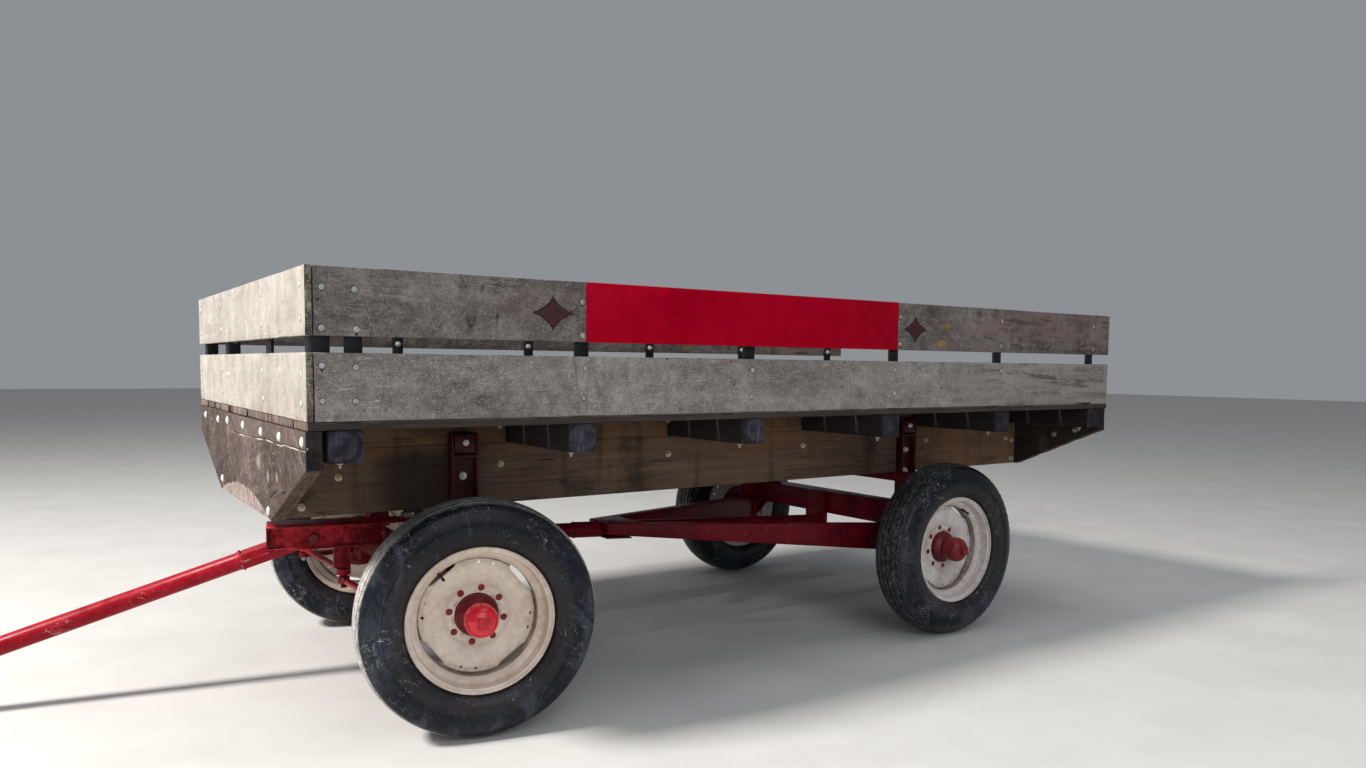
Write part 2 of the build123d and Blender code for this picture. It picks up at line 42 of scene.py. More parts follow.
# ------------------------------------------------------------------ sizes, metres, as in the CAD source
LIFT = 0.006           # heights below are given from this level above the ground, as in the CAD source
X0 = 1.132267
BED_L, BED_W = 3.494, 1.756
W2 = BED_W / 2
DECK_TOP, DECK_T = 0.949, 0.023
DECK_BOT = DECK_TOP - DECK_T
BOARD_T, BOARD_H, BOARD_GAP = 0.020, 0.177, 0.041   # BOARD_T: from the deck's edge to the boards' inner faces
LOW0, LOW1 = DECK_TOP, DECK_TOP + BOARD_H
UP0 = LOW1 + BOARD_GAP
UP1 = UP0 + BOARD_H
RED_B0, RED_B1 = 0.797, 2.117
SILL_W, SILL_H = 0.092, 0.086
SILL_BOT = DECK_BOT - SILL_H
MAIN_Y0, MAIN_Y1, MAIN_BOT = 0.346, 0.422, 0.638
END_T = 0.044
FA_X, RA_X = X0 - 0.545, X0 - 2.592
KING_Y, WHEEL_Y, WHEEL_Z = 0.585, 0.727, 0.350
PSI, PHI = math.radians(-12.0), math.radians(17.9)
UP = Vector((0, 0, 1))
ARM = Vector((math.cos(PSI), math.sin(PSI), 0))
SIDE = Vector((-math.sin(PSI), math.cos(PSI), 0))
KING = Vector((FA_X, 0, 0))
PIN = KING + ARM * 0.318 + UP * 0.500
TONGUE_X = ARM * math.cos(PHI) - UP * math.sin(PHI)
TONGUE_Z = TONGUE_X.cross(SIDE)


def X(b):
    return X0 - b


# ------------------------------------------------------------------ mesh building
class Geo:
    """Collects solids into one mesh. Each solid has a material number, a smooth flag and a tone."""

    def __init__(self):
        self.v, self.f, self.m, self.s = [], [], [], []
        self.tone, self.rad, self.ax = [], [], []

    def add(self, verts, faces, mat=0, smooth=True, tone=0.0, rad=None, ax=None):
        base = len(self.v)
        self.v += [tuple(p) for p in verts]
        self.f += [tuple(base + i for i in face) for face in faces]
        mats = mat if isinstance(mat, list) else [mat] * len(faces)
        self.m += mats
        self.s += [smooth] * len(faces)
        self.tone += [tone] * len(verts)
        self.rad += rad if rad else [0.0] * len(verts)
        self.ax += ax if ax else [0.0] * len(verts)

    def add_bm(self, bm, mat=0, smooth=True, tone=0.0, matrix=None):
        bm.verts.ensure_lookup_table()
        bm.verts.index_update()
        verts = [(matrix @ v.co) if matrix else v.co.copy() for v in bm.verts]
        self.add(verts, [[v.index for v in f.verts] for f in bm.faces], mat, smooth, tone)
        bm.free()

    def make(self, name, mats, body="root", replaces=(), angle=32):
        me = bpy.data.meshes.new(name)
        me.from_pydata([(x, y, z + LIFT) for x, y, z in self.v], [], self.f)
        me.polygons.foreach_set("material_index", self.m)
        me.polygons.foreach_set("use_smooth", self.s)
        for label, values in (("tone", self.tone), ("rad", self.rad), ("ax", self.ax)):
            if any(values):
                me.attributes.new(label, "FLOAT", "POINT").data.foreach_set("value", values)
        bm = bmesh.new()
        bm.from_mesh(me)
        bmesh.ops.recalc_face_normals(bm, faces=bm.faces)
        limit = math.radians(angle)
        for e in bm.edges:
            e.smooth = len(e.link_faces) == 2 and e.calc_face_angle(0.0) < limit
        bm.to_mesh(me)
        bm.free()
        for m in mats:
            me.materials.append(m)
        ob = bpy.data.objects.new(name, me)
        bpy.context.scene.collection.objects.link(ob)
        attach(ob, body)
        if replaces:
            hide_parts(*replaces)
        return ob


def frame_matrix(origin, x, y, z):
    m = Matrix((x, y, z)).transposed().to_4x4()
    m.translation = origin
    return m


def bevel_bm(bm, width, segments=2, angle=30):
    if width > 0:
        limit = math.radians(angle)
        edges = [e for e in bm.edges if len(e.link_faces) == 2 and e.calc_face_angle(0.0) > limit]
        bmesh.ops.bevel(bm, geom=edges, offset=width, segments=segments, profile=0.5, affect="EDGES", clamp_overlap=True)
    return bm


def block(geo, centre, size, bevel=0.002, mat=0, tone=0.0, segments=2, axes=None):
    """Box with rounded edges; axes are three unit vectors, or the row's own."""
    bm = bmesh.new()
    bmesh.ops.create_cube(bm, size=1.0)
    for v in bm.verts:
        v.co = Vector((v.co.x * size[0], v.co.y * size[1], v.co.z * size[2]))
    bevel_bm(bm, bevel, segments)
    m = Matrix.Translation(Vector(centre)) if axes is None else frame_matrix(Vector(centre), *axes)
    geo.add_bm(bm, mat, True, tone, m)


def prism(geo, outline, origin, x, y, depth, bevel=0.002, mat=0, tone=0.0, segments=2):
    """Outline (a, b) in the plane of x and y through origin, extruded by depth along x cross y."""
    x, y = Vector(x), Vector(y)
    n = x.cross(y)
    o = Vector(origin)
    bm = bmesh.new()
    face = bm.faces.new([bm.verts.new(o + x * a + y * b) for a, b in outline])
    made = bmesh.ops.extrude_face_region(bm, geom=[face])
    for v in made["geom"]:
        if isinstance(v, bmesh.types.BMVert):
            v.co += n * depth
    bmesh.ops.recalc_face_normals(bm, faces=bm.faces)
    bevel_bm(bm, bevel, segments)
    geo.add_bm(bm, mat, True, tone)


def lathe(geo, profile, origin, axis, seg=32, mat=0, ref=None, closed=False, tone=0.0, mats=None, phase=0.0, ripple=None):
    """Revolves (s, r) about axis from origin. mats gives a material number for each span."""
    axis = Vector(axis).normalized()
    ref = Vector(ref) if ref is not None else (Vector((1, 0, 0)) if abs(axis.x) < 0.9 else Vector((0, 1, 0)))
    e1 = (ref - axis * ref.dot(axis)).normalized()
    e2 = axis.cross(e1)
    o = Vector(origin)
    verts, rads, axs, rows = [], [], [], []
    for s, r in profile:
        if r < 1e-7:
            rows.append([len(verts)])
            verts.append(o + axis * s)
            rads.append(0.0)
            axs.append(s)
            continue
        row = []
        for k in range(seg):
            a = 2 * math.pi * k / seg + phase
            rr = r + (ripple(s, r, a) if ripple else 0.0)
            row.append(len(verts))
            verts.append(o + axis * s + (e1 * math.cos(a) + e2 * math.sin(a)) * rr)
            rads.append(r)
            axs.append(s)
        rows.append(row)
    faces, fm = [], []
    spans = list(zip(rows, rows[1:])) + ([(rows[-1], rows[0])] if closed else [])
    for j, (p, q) in enumerate(spans):
        use = mats[j] if mats else mat
        for k in range(seg):
            n = (k + 1) % seg
            if len(p) == 1 and len(q) == 1:
                continue
            if len(p) == 1:
                faces.append((p[0], q[k], q[n]))
            elif len(q) == 1:
                faces.append((p[k], q[0], p[n]))
            else:
                faces.append((p[k], q[k], q[n], p[n]))
            fm.append(use)
    geo.add(verts, faces, fm, True, tone, rads, axs)


def rod(geo, a, b, r, seg=20, mat=0, bevel=0.0015, tone=0.0):
    a, b = Vector(a), Vector(b)
    length = (b - a).length
    e = min(bevel, r * 0.4)
    lathe(geo, [(0, 0), (0, r - e), (e, r), (length - e, r), (length, r - e), (length, 0)], a, b - a, seg, mat, tone=tone)


def pipe(geo, points, r, seg=12, mat=0, tone=0.0):
    """Round bar through points, with capped ends."""
    pts = [Vector(p) for p in points]
    rows, verts = [], []
    side = None
    for i, p in enumerate(pts):
        t = (pts[min(i + 1, len(pts) - 1)] - pts[max(i - 1, 0)]).normalized()
        if side is None:
            side = t.orthogonal().normalized()
        side = (side - t * side.dot(t)).normalized()
        other = t.cross(side)
        row = []
        for k in range(seg):
            a = 2 * math.pi * k / seg
            row.append(len(verts))
            verts.append(p + (side * math.cos(a) + other * math.sin(a)) * r)
        rows.append(row)
    faces = [(p[k], q[k], q[(k + 1) % seg], p[(k + 1) % seg]) for p, q in zip(rows, rows[1:]) for k in range(seg)]
    faces += [tuple(rows[0]), tuple(reversed(rows[-1]))]
    geo.add(verts, faces, mat, True, tone)


def bead(geo, a, b, r=0.0035, mat=0, seed=0):
    """Weld bead: a low wavy ridge from a to b."""
    a, b = Vector(a), Vector(b)
    n = max(3, int((b - a).length / 0.006))
    pts = [a.lerp(b, i / n) for i in range(n + 1)]
    t = (b - a).normalized()
    side = t.orthogonal().normalized()
    other = t.cross(side)
    rows, verts = [], []
    for i, p in enumerate(pts):
        rr = r * (0.78 + 0.3 * abs(math.sin(i * 1.9 + seed)) + 0.12 * noise.noise(p * 90))
        if i in (0, n):
            rr *= 0.45
        row = []
        for k in range(8):
            c = 2 * math.pi * k / 8
            row.append(len(verts))
            verts.append(p + (side * math.cos(c) + other * math.sin(c)) * rr)
        rows.append(row)
    faces = [(p[k], q[k], q[(k + 1) % 8], p[(k + 1) % 8]) for p, q in zip(rows, rows[1:]) for k in range(8)]
    faces += [tuple(rows[0]), tuple(reversed(rows[-1]))]
    geo.add(verts, faces, mat)


def ring_bead(geo, centre, axis, radius, r=0.0035, mat=0, arc=(0, 360)):
    axis = Vector(axis).normalized()
    e1 = axis.orthogonal().normalized()
    e2 = axis.cross(e1)
    n = max(12, int(2 * math.pi * radius / 0.007))
    pts = []
    for i in range(n + 1):
        a = math.radians(arc[0] + (arc[1] - arc[0]) * i / n)
        pts.append(Vector(centre) + (e1 * math.cos(a) + e2 * math.sin(a)) * radius)
    pipe(geo, pts, r, 7, mat)


def dome_head(geo, at, out, r=0.0105, h=0.0026, mat=0, tone=0.0, seg=18):
    """Carriage bolt head."""
    lathe(geo, [(-0.001, r * 0.98), (0.0006, r), (h * 0.55, r * 0.86), (h * 0.85, r * 0.55), (h, 0)], at, out, seg, mat, tone=tone)


def hex_head(geo, at, out, af=0.019, h=0.008, washer=0.0, mat=0, turn=0.0, stud=0.0, tone=0.0):
    """Hexagon head or nut on a washer, with the stud's end standing out of it."""
    out = Vector(out).normalized()
    at = Vector(at)
    w = 0.0
    if washer:
        w = 0.0022
        lathe(geo, [(-0.001, washer), (w * 0.7, washer), (w, washer - 0.0008), (w, 0)], at, out, 20, mat, tone=tone)
    e1 = out.orthogonal().normalized()
    e2 = out.cross(e1)
    rows, verts = [], []
    for s, k in ((0.0, 1.0), (h * 0.78, 1.0), (h, 0.88)):
        row = []
        for i in range(6):
            a = math.radians(60 * i + turn)
            row.append(len(verts))
            verts.append(at + out * (w + s) + (e1 * math.cos(a) + e2 * math.sin(a)) * (af / 2 / math.cos(math.pi / 6)) * k)
        rows.append(row)
    faces = [(p[k], q[k], q[(k + 1) % 6], p[(k + 1) % 6]) for p, q in zip(rows, rows[1:]) for k in range(6)]
    faces.append(tuple(rows[-1]))
    geo.add(verts, faces, mat, False, tone)
    if stud:
        r = af * 0.27
        lathe(geo, [(w + h - 0.001, r), (w + h + stud - 0.001, r), (w + h + stud, r * 0.8), (w + h + stud, 0)], at, out, 12, mat, tone=tone)


def noise1(x, y, z):
    return noise.noise(Vector((x, y, z)))


def timber(geo, centre, size, grain, mat=0, end_mat=None, corner=0.003, wave=0.0010, chip=0.002, step=0.05, tone=0.0,
           ends=(0.0, 0.0), across=0.03, seed=0.0, skew=0.0, taper=None):
    """A sawn timber inside its box: softened arrises, small dents and chips along them, ends slightly off square."""
    o1, o2 = [i for i in range(3) if i != grain]
    L = size[grain]
    a, b = size[o1] / 2, size[o2] / 2
    c = Vector(centre)

    def side_points(h0, h1):
        n = max(1, int((h1 - h0) / across))
        return [h0 + (h1 - h0) * i / n for i in range(n + 1)]

    k = min(corner, a * 0.45, b * 0.45)
    ring = []
    for u in side_points(-a + k, a - k):
        ring.append((u, -b, 0))
    ring.append((a - k * 0.3, -b + k * 0.3, 1))
    for v in side_points(-b + k, b - k):
        ring.append((a, v, 0))
    ring.append((a - k * 0.3, b - k * 0.3, 1))
    for u in reversed(side_points(-a + k, a - k)):
        ring.append((u, b, 0))
    ring.append((-a + k * 0.3, b - k * 0.3, 1))
    for v in reversed(side_points(-b + k, b - k)):
        ring.append((-a, v, 0))
    ring.append((-a + k * 0.3, -b + k * 0.3, 1))
    n = max(4, int(L / step))
    rows, verts = [], []
    lo, hi = -L / 2 + ends[0], L / 2 - ends[1]
    stations = [lo + (hi - lo) * i / n for i in range(n + 1)]
    for i, s in enumerate(stations):
        row = []
        for u, v, is_corner in ring:
            q = Vector((s * 3.1 + seed * 7.3, u * 11 + seed, v * 11))
            d = wave * (0.5 + 0.5 * noise.noise(q))
            if is_corner:
                q2 = Vector((s * 9.0 + seed * 3.7, math.copysign(1, u) * 3, math.copysign(1, v) * 5))
                hit = max(0.0, noise.noise(q2) - 0.12)
                d += min(chip, hit * chip * 4)
            uu = u - math.copysign(min(abs(u), d), u) if abs(abs(u) - a) < k + 1e-6 else u
            vv = v - math.copysign(min(abs(v), d), v) if abs(abs(v) - b) < k + 1e-6 else v
            ss = s
            if i in (0, n):
                ss += -math.copysign(1, s) * (0.0008 + 0.0012 * (0.5 + 0.5 * noise1(u * 25, v * 25, seed)))
            ss += skew * u * (abs(s) / (L / 2)) * (1 if s > 0 else -1)
            ss = max(-L / 2, min(L / 2, ss))
            p = [0.0, 0.0, 0.0]
            p[grain], p[o1], p[o2] = ss, uu, vv
            if taper:
                p = taper(p)
            row.append(len(verts))
            verts.append(c + Vector(p))
        rows.append(row)
    m = len(ring)
    faces = [(p[j], q[j], q[(j + 1) % m], p[(j + 1) % m]) for p, q in zip(rows, rows[1:]) for j in range(m)]
    fm = [mat] * len(faces)
    # ends: an inset ring, then a fan of quads to a middle line
    for row, sign in ((rows[0], -1), (rows[-1], 1)):
        mid = sum((Vector(verts[j]) for j in row), Vector()) / m
        inner = []
        for j in row:
            p = Vector(verts[j])
            d = [0.0, 0.0, 0.0]
            d[grain] = sign * min(0.0006, 0.001)
            q = p.lerp(mid, 0.06) + Vector(d) * 0.5
            inner.append(len(verts))
            verts.append(q)
        hub = len(verts)
        verts.append(mid)
        for j in range(m):
            n2 = (j + 1) % m
            faces.append((row[j], row[n2], inner[n2], inner[j]))
            faces.append((inner[j], inner[n2], hub))
            fm += [mat if end_mat is None else end_mat] * 2
    geo.add(verts, faces, fm, True, tone)


def bevelled_node(geo, node, width=0.0025, mat=0, segments=2, keep=None):
    """The CAD node's own shape with its edges rounded, added to geo."""
    bm = bmesh.new()
    bm.from_mesh(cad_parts[node].data)
    for v in bm.verts:
        v.co.z -= LIFT
    bmesh.ops.remove_doubles(bm, verts=bm.verts, dist=2e-5)
    bmesh.ops.dissolve_limit(bm, angle_limit=math.radians(2), verts=bm.verts, edges=bm.edges)
    bmesh.ops.recalc_face_normals(bm, faces=bm.faces)
    bevel_bm(bm, width, segments, 38)
    bmesh.ops.triangulate(bm, faces=[f for f in bm.faces if len(f.verts) > 6])
    geo.add_bm(bm, mat)


# ------------------------------------------------------------------ materials
class Mat:
    """A small helper around one material's nodes."""

    def __init__(self, name, rough=0.6, metal=0.0, spec=0.5):
        self.m = bpy.data.materials.new(name)
        self.m.use_nodes = True
        self.t = self.m.node_tree
        self.t.nodes.clear()
        out = self.t.nodes.new("ShaderNodeOutputMaterial")
        self.b = self.t.nodes.new("ShaderNodeBsdfPrincipled")
        self.t.links.new(self.b.outputs[0], out.inputs[0])
        self.b.inputs["Roughness"].default_value = rough
        self.b.inputs["Metallic"].default_value = metal
        self.b.inputs["Specular IOR Level"].default_value = spec
        self.co = self.node("ShaderNodeMapping", {"Vector": self.node("ShaderNodeTexCoord").outputs["Object"], "Location": (0, 0, -LIFT)}).outputs[0]

    def node(self, kind, ins=None, **attrs):
        n = self.t.nodes.new(kind)
        for k, v in attrs.items():
            setattr(n, k, v)
        for k, v in (ins or {}).items():
            if isinstance(v, bpy.types.NodeSocket):
                self.t.links.new(v, n.inputs[k])
            else:
                n.inputs[k].default_value = v
        return n

    def map(self, scale=(1, 1, 1), loc=(0, 0, 0), rot=(0, 0, 0), vec=None):
        return self.node("ShaderNodeMapping", {"Vector": vec or self.co, "Scale": scale, "Location": loc,
                                               "Rotation": [math.radians(a) for a in rot]}).outputs[0]

    def noise(self, scale, detail=4, rough=0.55, dist=0.0, vec=None, w=None):
        ins = {"Vector": vec or self.co, "Scale": scale, "Detail": detail, "Roughness": rough, "Distortion": dist}
        if w is not None:
            n = self.node("ShaderNodeTexNoise", None, noise_dimensions="4D")
            for k, v in ins.items():
                if isinstance(v, bpy.types.NodeSocket):
                    self.t.links.new(v, n.inputs[k])
                else:
                    n.inputs[k].default_value = v
            if isinstance(w, bpy.types.NodeSocket):
                self.t.links.new(w, n.inputs["W"])
            else:
                n.inputs["W"].default_value = w
            return n.outputs["Fac"]
        return self.node("ShaderNodeTexNoise", ins).outputs["Fac"]

    def voronoi(self, scale, feature="F1", vec=None, out="Distance", rand=1.0):
        n = self.node("ShaderNodeTexVoronoi", {"Vector": vec or self.co, "Scale": scale, "Randomness": rand}, feature=feature)
        return n.outputs[out]

    def math(self, op, a, b=0.0, clamp=False):
        return self.node("ShaderNodeMath", {0: a, 1: b}, operation=op, use_clamp=clamp).outputs[0]

    def step(self, fac, lo, hi, a=0.0, b=1.0):
        """a below lo, b above hi, smooth between."""
        n = self.node("ShaderNodeMapRange", {"Value": fac, "From Min": lo, "From Max": hi, "To Min": a, "To Max": b},
                      interpolation_type="SMOOTHSTEP")
        return n.outputs[0]

    def ramp(self, fac, stops):
        n = self.node("ShaderNodeValToRGB", {"Fac": fac})
        r = n.color_ramp
        while len(r.elements) < len(stops):
            r.elements.new(0.5)
        for e, (p, c) in zip(r.elements, stops):
            e.position = p
            e.color = (*c, 1)
        return n.outputs["Color"]

    def mix(self, fac, a, b, mode="MIX"):
        n = self.node("ShaderNodeMix", None, data_type="RGBA", blend_type=mode)
        for k, v in ((0, fac), (6, a), (7, b)):
            if isinstance(v, bpy.types.NodeSocket):
                self.t.links.new(v, n.inputs[k])
            elif k == 0:
                n.inputs[k].default_value = v
            else:
                n.inputs[k].default_value = (*v, 1) if len(v) == 3 else v
        return n.outputs[2]

    def attr(self, name):
        return self.node("ShaderNodeAttribute", None, attribute_name=name).outputs["Fac"]

    def xyz(self, vec=None):
        n = self.node("ShaderNodeSeparateXYZ", {0: vec or self.co})
        return n.outputs[0], n.outputs[1], n.outputs[2]

    def normal_z(self):
        g = self.node("ShaderNodeNewGeometry")
        return self.node("ShaderNodeSeparateXYZ", {0: g.outputs["Normal"]}).outputs[2]

    def edge(self, radius=0.004, samples=4):
        """1 near edges, 0 on flats."""
        bev = self.node("ShaderNodeBevel", {"Radius": radius}, samples=samples).outputs[0]
        g = self.node("ShaderNodeNewGeometry").outputs["Normal"]
        d = self.node("ShaderNodeVectorMath", {0: bev, 1: g}, operation="DOT_PRODUCT").outputs["Value"]
        return self.step(d, 0.995, 0.93, 0.0, 1.0)

    def bump(self, height, strength=0.3, dist=0.002, normal=None):
        ins = {"Height": height, "Strength": strength, "Distance": dist}
        if normal is not None:
            ins["Normal"] = normal
        return self.node("ShaderNodeBump", ins).outputs[0]

    def out(self, color=None, rough=None, normal=None, metal=None, coat=None):
        for k, v in (("Base Color", color), ("Roughness", rough), ("Normal", normal), ("Metallic", metal), ("Coat Weight", coat)):
            if v is None:
                continue
            if isinstance(v, bpy.types.NodeSocket):
                self.t.links.new(v, self.b.inputs[k])
            elif k == "Base Color":
                self.b.inputs[k].default_value = (*v, 1)
            else:
                self.b.inputs[k].default_value = v
        return self.m


def lin(r, g, b):
    """Display colour, 0 to 255, to linear."""
    def f(c):
        c /= 255
        return c / 12.92 if c <= 0.04045 else ((c + 0.055) / 1.055) ** 2.4
    return (f(r), f(g), f(b))


def wood(name, dark, mid, light, grain=0, fibre=1.0, stain=0.35, crack=0.5, knot=0.4, bump=0.5, rough=0.86, dust=0.0, dust_col=(0.3, 0.28, 0.25),
         sides=None):
    """Weathered sawn timber with the grain along one row axis. sides darkens the upright faces towards that colour."""
    m = Mat(name, rough, spec=0.3)
    tone = m.attr("tone")
    w = m.math("MULTIPLY", tone, 17.0)
    long, wide, fine = [1.0] * 3, [1.0] * 3, [1.0] * 3
    for i in range(3):
        long[i] = 0.9 if i == grain else 19.0
        wide[i] = 0.55 if i == grain else 6.5
        fine[i] = 5.0 if i == grain else 150.0
    warp = m.noise(2.2, 2, 0.5, w=w)
    offs = m.node("ShaderNodeVectorMath", {0: m.co, 1: m.node("ShaderNodeCombineXYZ", {0: 0.0, 1: m.math("MULTIPLY", warp, 0.05), 2: m.math("MULTIPLY", warp, 0.05)}).outputs[0]}, operation="ADD").outputs[0]
    g1 = m.noise(1.7, 8, 0.62, 0.5, m.map(long, vec=offs), w)
    g2 = m.noise(1.3, 4, 0.6, 0.8, m.map(wide, vec=offs), w)
    g3 = m.noise(1.0, 4, 0.7, 0.0, m.map(fine), w)
    big = m.noise(2.1, 5, 0.6, 0.4, w=w)
    f = m.math("ADD", m.math("MULTIPLY", g1, 0.5), m.math("ADD", m.math("MULTIPLY", g2, 0.3), m.math("MULTIPLY", g3, 0.2 * fibre)))
    col = m.ramp(f, [(0.30, dark), (0.5, mid), (0.68, light)])
    # board to board
    col = m.mix(m.math("MULTIPLY", m.math("FRACT", m.math("MULTIPLY", tone, 5.31)), 0.5), col, mid)
    shade = m.step(m.math("FRACT", m.math("MULTIPLY", tone, 3.77)), 0.0, 1.0, 0.78, 1.18)
    col = m.mix(1.0, col, m.node("ShaderNodeCombineColor", {0: shade, 1: shade, 2: shade}).outputs[0], "MULTIPLY")
    # stains and water marks
    st = m.step(big, 0.5, 0.72, 0.0, stain)
    col = m.mix(st, col, tuple(c * 0.42 for c in mid))
    pale = m.step(m.noise(6.0, 6, 0.65, 0.6, w=w), 0.60, 0.78, 0.0, stain * 0.8)
    col = m.mix(pale, col, tuple(min(1, c * 1.5) for c in light))
    # checks along the grain
    ck = [1.0] * 3
    for i in range(3):
        ck[i] = 1.5 if i == grain else 42.0
    cr = m.noise(1.0, 2, 0.5, 0.2, m.map(ck), w)
    line = m.step(m.math("ABSOLUTE", m.math("SUBTRACT", cr, 0.5)), 0.012, 0.0, 0.0, 1.0)
    where = m.step(m.noise(3.0, 2, w=w), 0.48, 0.62, 0.0, crack)
    line = m.math("MULTIPLY", line, where)
    col = m.mix(line, col, tuple(c * 0.25 for c in dark))
    # knots
    kn = [1.0] * 3
    for i in range(3):
        kn[i] = 1.3 if i == grain else 4.5
    kd = m.voronoi(1.0, vec=m.map(kn, vec=offs))
    kmask = m.step(kd, 0.13, 0.05, 0.0, knot)
    col = m.mix(kmask, col, tuple(c * 0.45 for c in dark))
    if dust:
        up = m.step(m.normal_z(), 0.5, 0.95, 0.0, dust)
        up = m.math("MULTIPLY", up, m.step(m.noise(9.0, 5, 0.6), 0.3, 0.75))
        col = m.mix(up, col, dust_col)
    if sides:
        low = m.step(m.normal_z(), 0.8, 0.3, 0.0, 1.0)
        soot = m.ramp(m.math("ADD", m.math("MULTIPLY", g1, 0.6), m.math("MULTIPLY", m.noise(1.0, 4, 0.6, 0.3, m.map((6, 60, 60))), 0.4)),
                      [(0.36, tuple(c * 0.35 for c in sides)), (0.52, sides), (0.66, tuple(c * 2.4 for c in sides))])
        col = m.mix(m.math("MULTIPLY", low, 0.85), col, soot)
    h = m.math("ADD", m.math("MULTIPLY", g1, 0.6), m.math("SUBTRACT", m.math("MULTIPLY", g3, 0.5), m.math("MULTIPLY", line, 0.9)))
    h = m.math("SUBTRACT", h, m.math("MULTIPLY", kmask, 0.3))
    rr = m.step(f, 0.35, 0.65, rough + 0.06, rough - 0.10)
    return m.out(col, rr, m.bump(h, bump, 0.004))


def timber_shade(mat):
    """Over the long sills' colour: warm along the top and near the front, sooty upright smudges, dark clouds, and a
    painted shade just ahead of the front stakes.
    """
    t = mat.node_tree
    m = Mat.__new__(Mat)
    m.m, m.t = mat, t
    m.b = next(n for n in t.nodes if n.type == "BSDF_PRINCIPLED")
    m.co = next(n for n in t.nodes if n.type == "MAPPING" and n.inputs["Location"].default_value[2] < 0).outputs[0]
    col = m.b.inputs["Base Color"].links[0].from_socket
    x, y, z = m.xyz()
    zn = m.math("ADD", z, m.math("MULTIPLY", m.math("SUBTRACT", m.noise(4.0, 4, 0.6), 0.5), 0.20))
    xn = m.math("ADD", x, m.math("MULTIPLY", m.math("SUBTRACT", m.noise(2.0, 3, 0.6), 0.5), 0.35))
    warm = m.math("MULTIPLY", m.step(zn, 0.765, 0.83), m.step(m.noise(3.1, 4, 0.6), 0.34, 0.58, 0.30, 1.0))
    col = m.mix(m.math("MULTIPLY", warm, 0.60), col, lin(116, 84, 54))
    sm = m.noise(1.0, 4, 0.6, 0.3, m.map((7.5, 7.5, 0.7), loc=(2.1, 0, 0)))
    col = m.mix(m.math("MULTIPLY", m.step(sm, 0.53, 0.68), 0.50), col, lin(30, 23, 20))
    soot = m.noise(1.0, 5, 0.62, 0.5, m.map((2.4, 2.4, 5.0), loc=(0.7, 0, 1.1)))
    col = m.mix(m.math("MULTIPLY", m.step(soot, 0.52, 0.66), 0.60), col, lin(34, 26, 23))
    # painted shade: darkest just ahead of the front stakes, below the warm band
    front = m.math("MULTIPLY", m.math("MULTIPLY", m.step(xn, 0.44, 0.56), m.step(xn, 0.90, 0.72)), m.step(zn, 0.87, 0.79))
    col = m.mix(m.math("MULTIPLY", front, 0.80), col, lin(24, 19, 20))
    # warm again where the sill nears its rear end
    back = m.math("MULTIPLY", m.step(xn, -1.55, -1.85), m.step(m.noise(5.0, 4, 0.6, w=7.0), 0.38, 0.58, 0.3, 0.8))
    col = m.mix(back, col, lin(120, 88, 62))
    line = m.noise(1.0, 3, 0.5, 0.2, m.map((0.8, 20, 34), loc=(0.4, 0.2, 0.7)))
    lm = m.math("MULTIPLY", m.step(m.math("ABSOLUTE", m.math("SUBTRACT", line, 0.5)), 0.012, 0.002), m.step(m.noise(2.6, 3), 0.46, 0.58, 0.0, 0.8))
    col = m.mix(lm, col, lin(18, 13, 11))
    t.links.new(col, m.b.inputs["Base Color"])
    return mat


def end_grain(name, dark, mid, light, centre_z, spacing=0.006, bump=0.5):
    """Sawn end with rings and radial checks round its own centre; ax holds the distance from it along X."""
    m = Mat(name, 0.9, spec=0.25)
    tone = m.attr("tone")
    w = m.math("MULTIPLY", tone, 17.0)
    x, y, z = m.xyz()
    dz = m.math("SUBTRACT", z, centre_z)
    lx = m.attr("ax")
    vec = m.node("ShaderNodeCombineXYZ", {0: lx, 1: dz, 2: tone}).outputs[0]
    wob = m.math("MULTIPLY", m.noise(14.0, 3), 0.010)
    r = m.math("ADD", m.node("ShaderNodeVectorMath", {0: vec}, operation="LENGTH").outputs["Value"], wob)
    rings = m.math("SINE", m.math("MULTIPLY", r, 2 * math.pi / spacing))
    ang = m.math("ARCTAN2", dz, lx)
    spoke = m.noise(3.2, 4, 0.6, 0, m.node("ShaderNodeCombineXYZ", {0: m.math("SINE", ang), 1: m.math("COSINE", ang), 2: w}).outputs[0])
    line = m.step(m.math("ABSOLUTE", m.math("SUBTRACT", spoke, 0.5)), 0.010, 0.0, 0.0, 0.9)
    saw = m.noise(1.0, 3, 0.6, 0, m.map((160, 160, 9)), w)
    f = m.math("ADD", m.math("MULTIPLY", rings, 0.13), m.math("ADD", m.math("MULTIPLY", saw, 0.5), m.math("MULTIPLY", m.noise(16, 5, 0.6, w=w), 0.5)))
    col = m.ramp(f, [(0.25, dark), (0.5, mid), (0.8, light)])
    col = m.mix(line, col, tuple(c * 0.3 for c in dark))
    # pale dusty scratches, mostly upright
    sl = m.noise(1.0, 3, 0.6, 0.3, m.map((95, 95, 16), loc=(0.3, 0, 0.6)), w)
    lm = m.math("MULTIPLY", m.step(sl, 0.60, 0.66), m.step(m.noise(14.0, 3, w=w), 0.48, 0.58, 0.0, 0.75))
    col = m.mix(lm, col, tuple(min(1, c * 4.5) for c in mid))
    h = m.math("SUBTRACT", f, line)
    return m.out(col, None, m.bump(h, bump, 0.003))


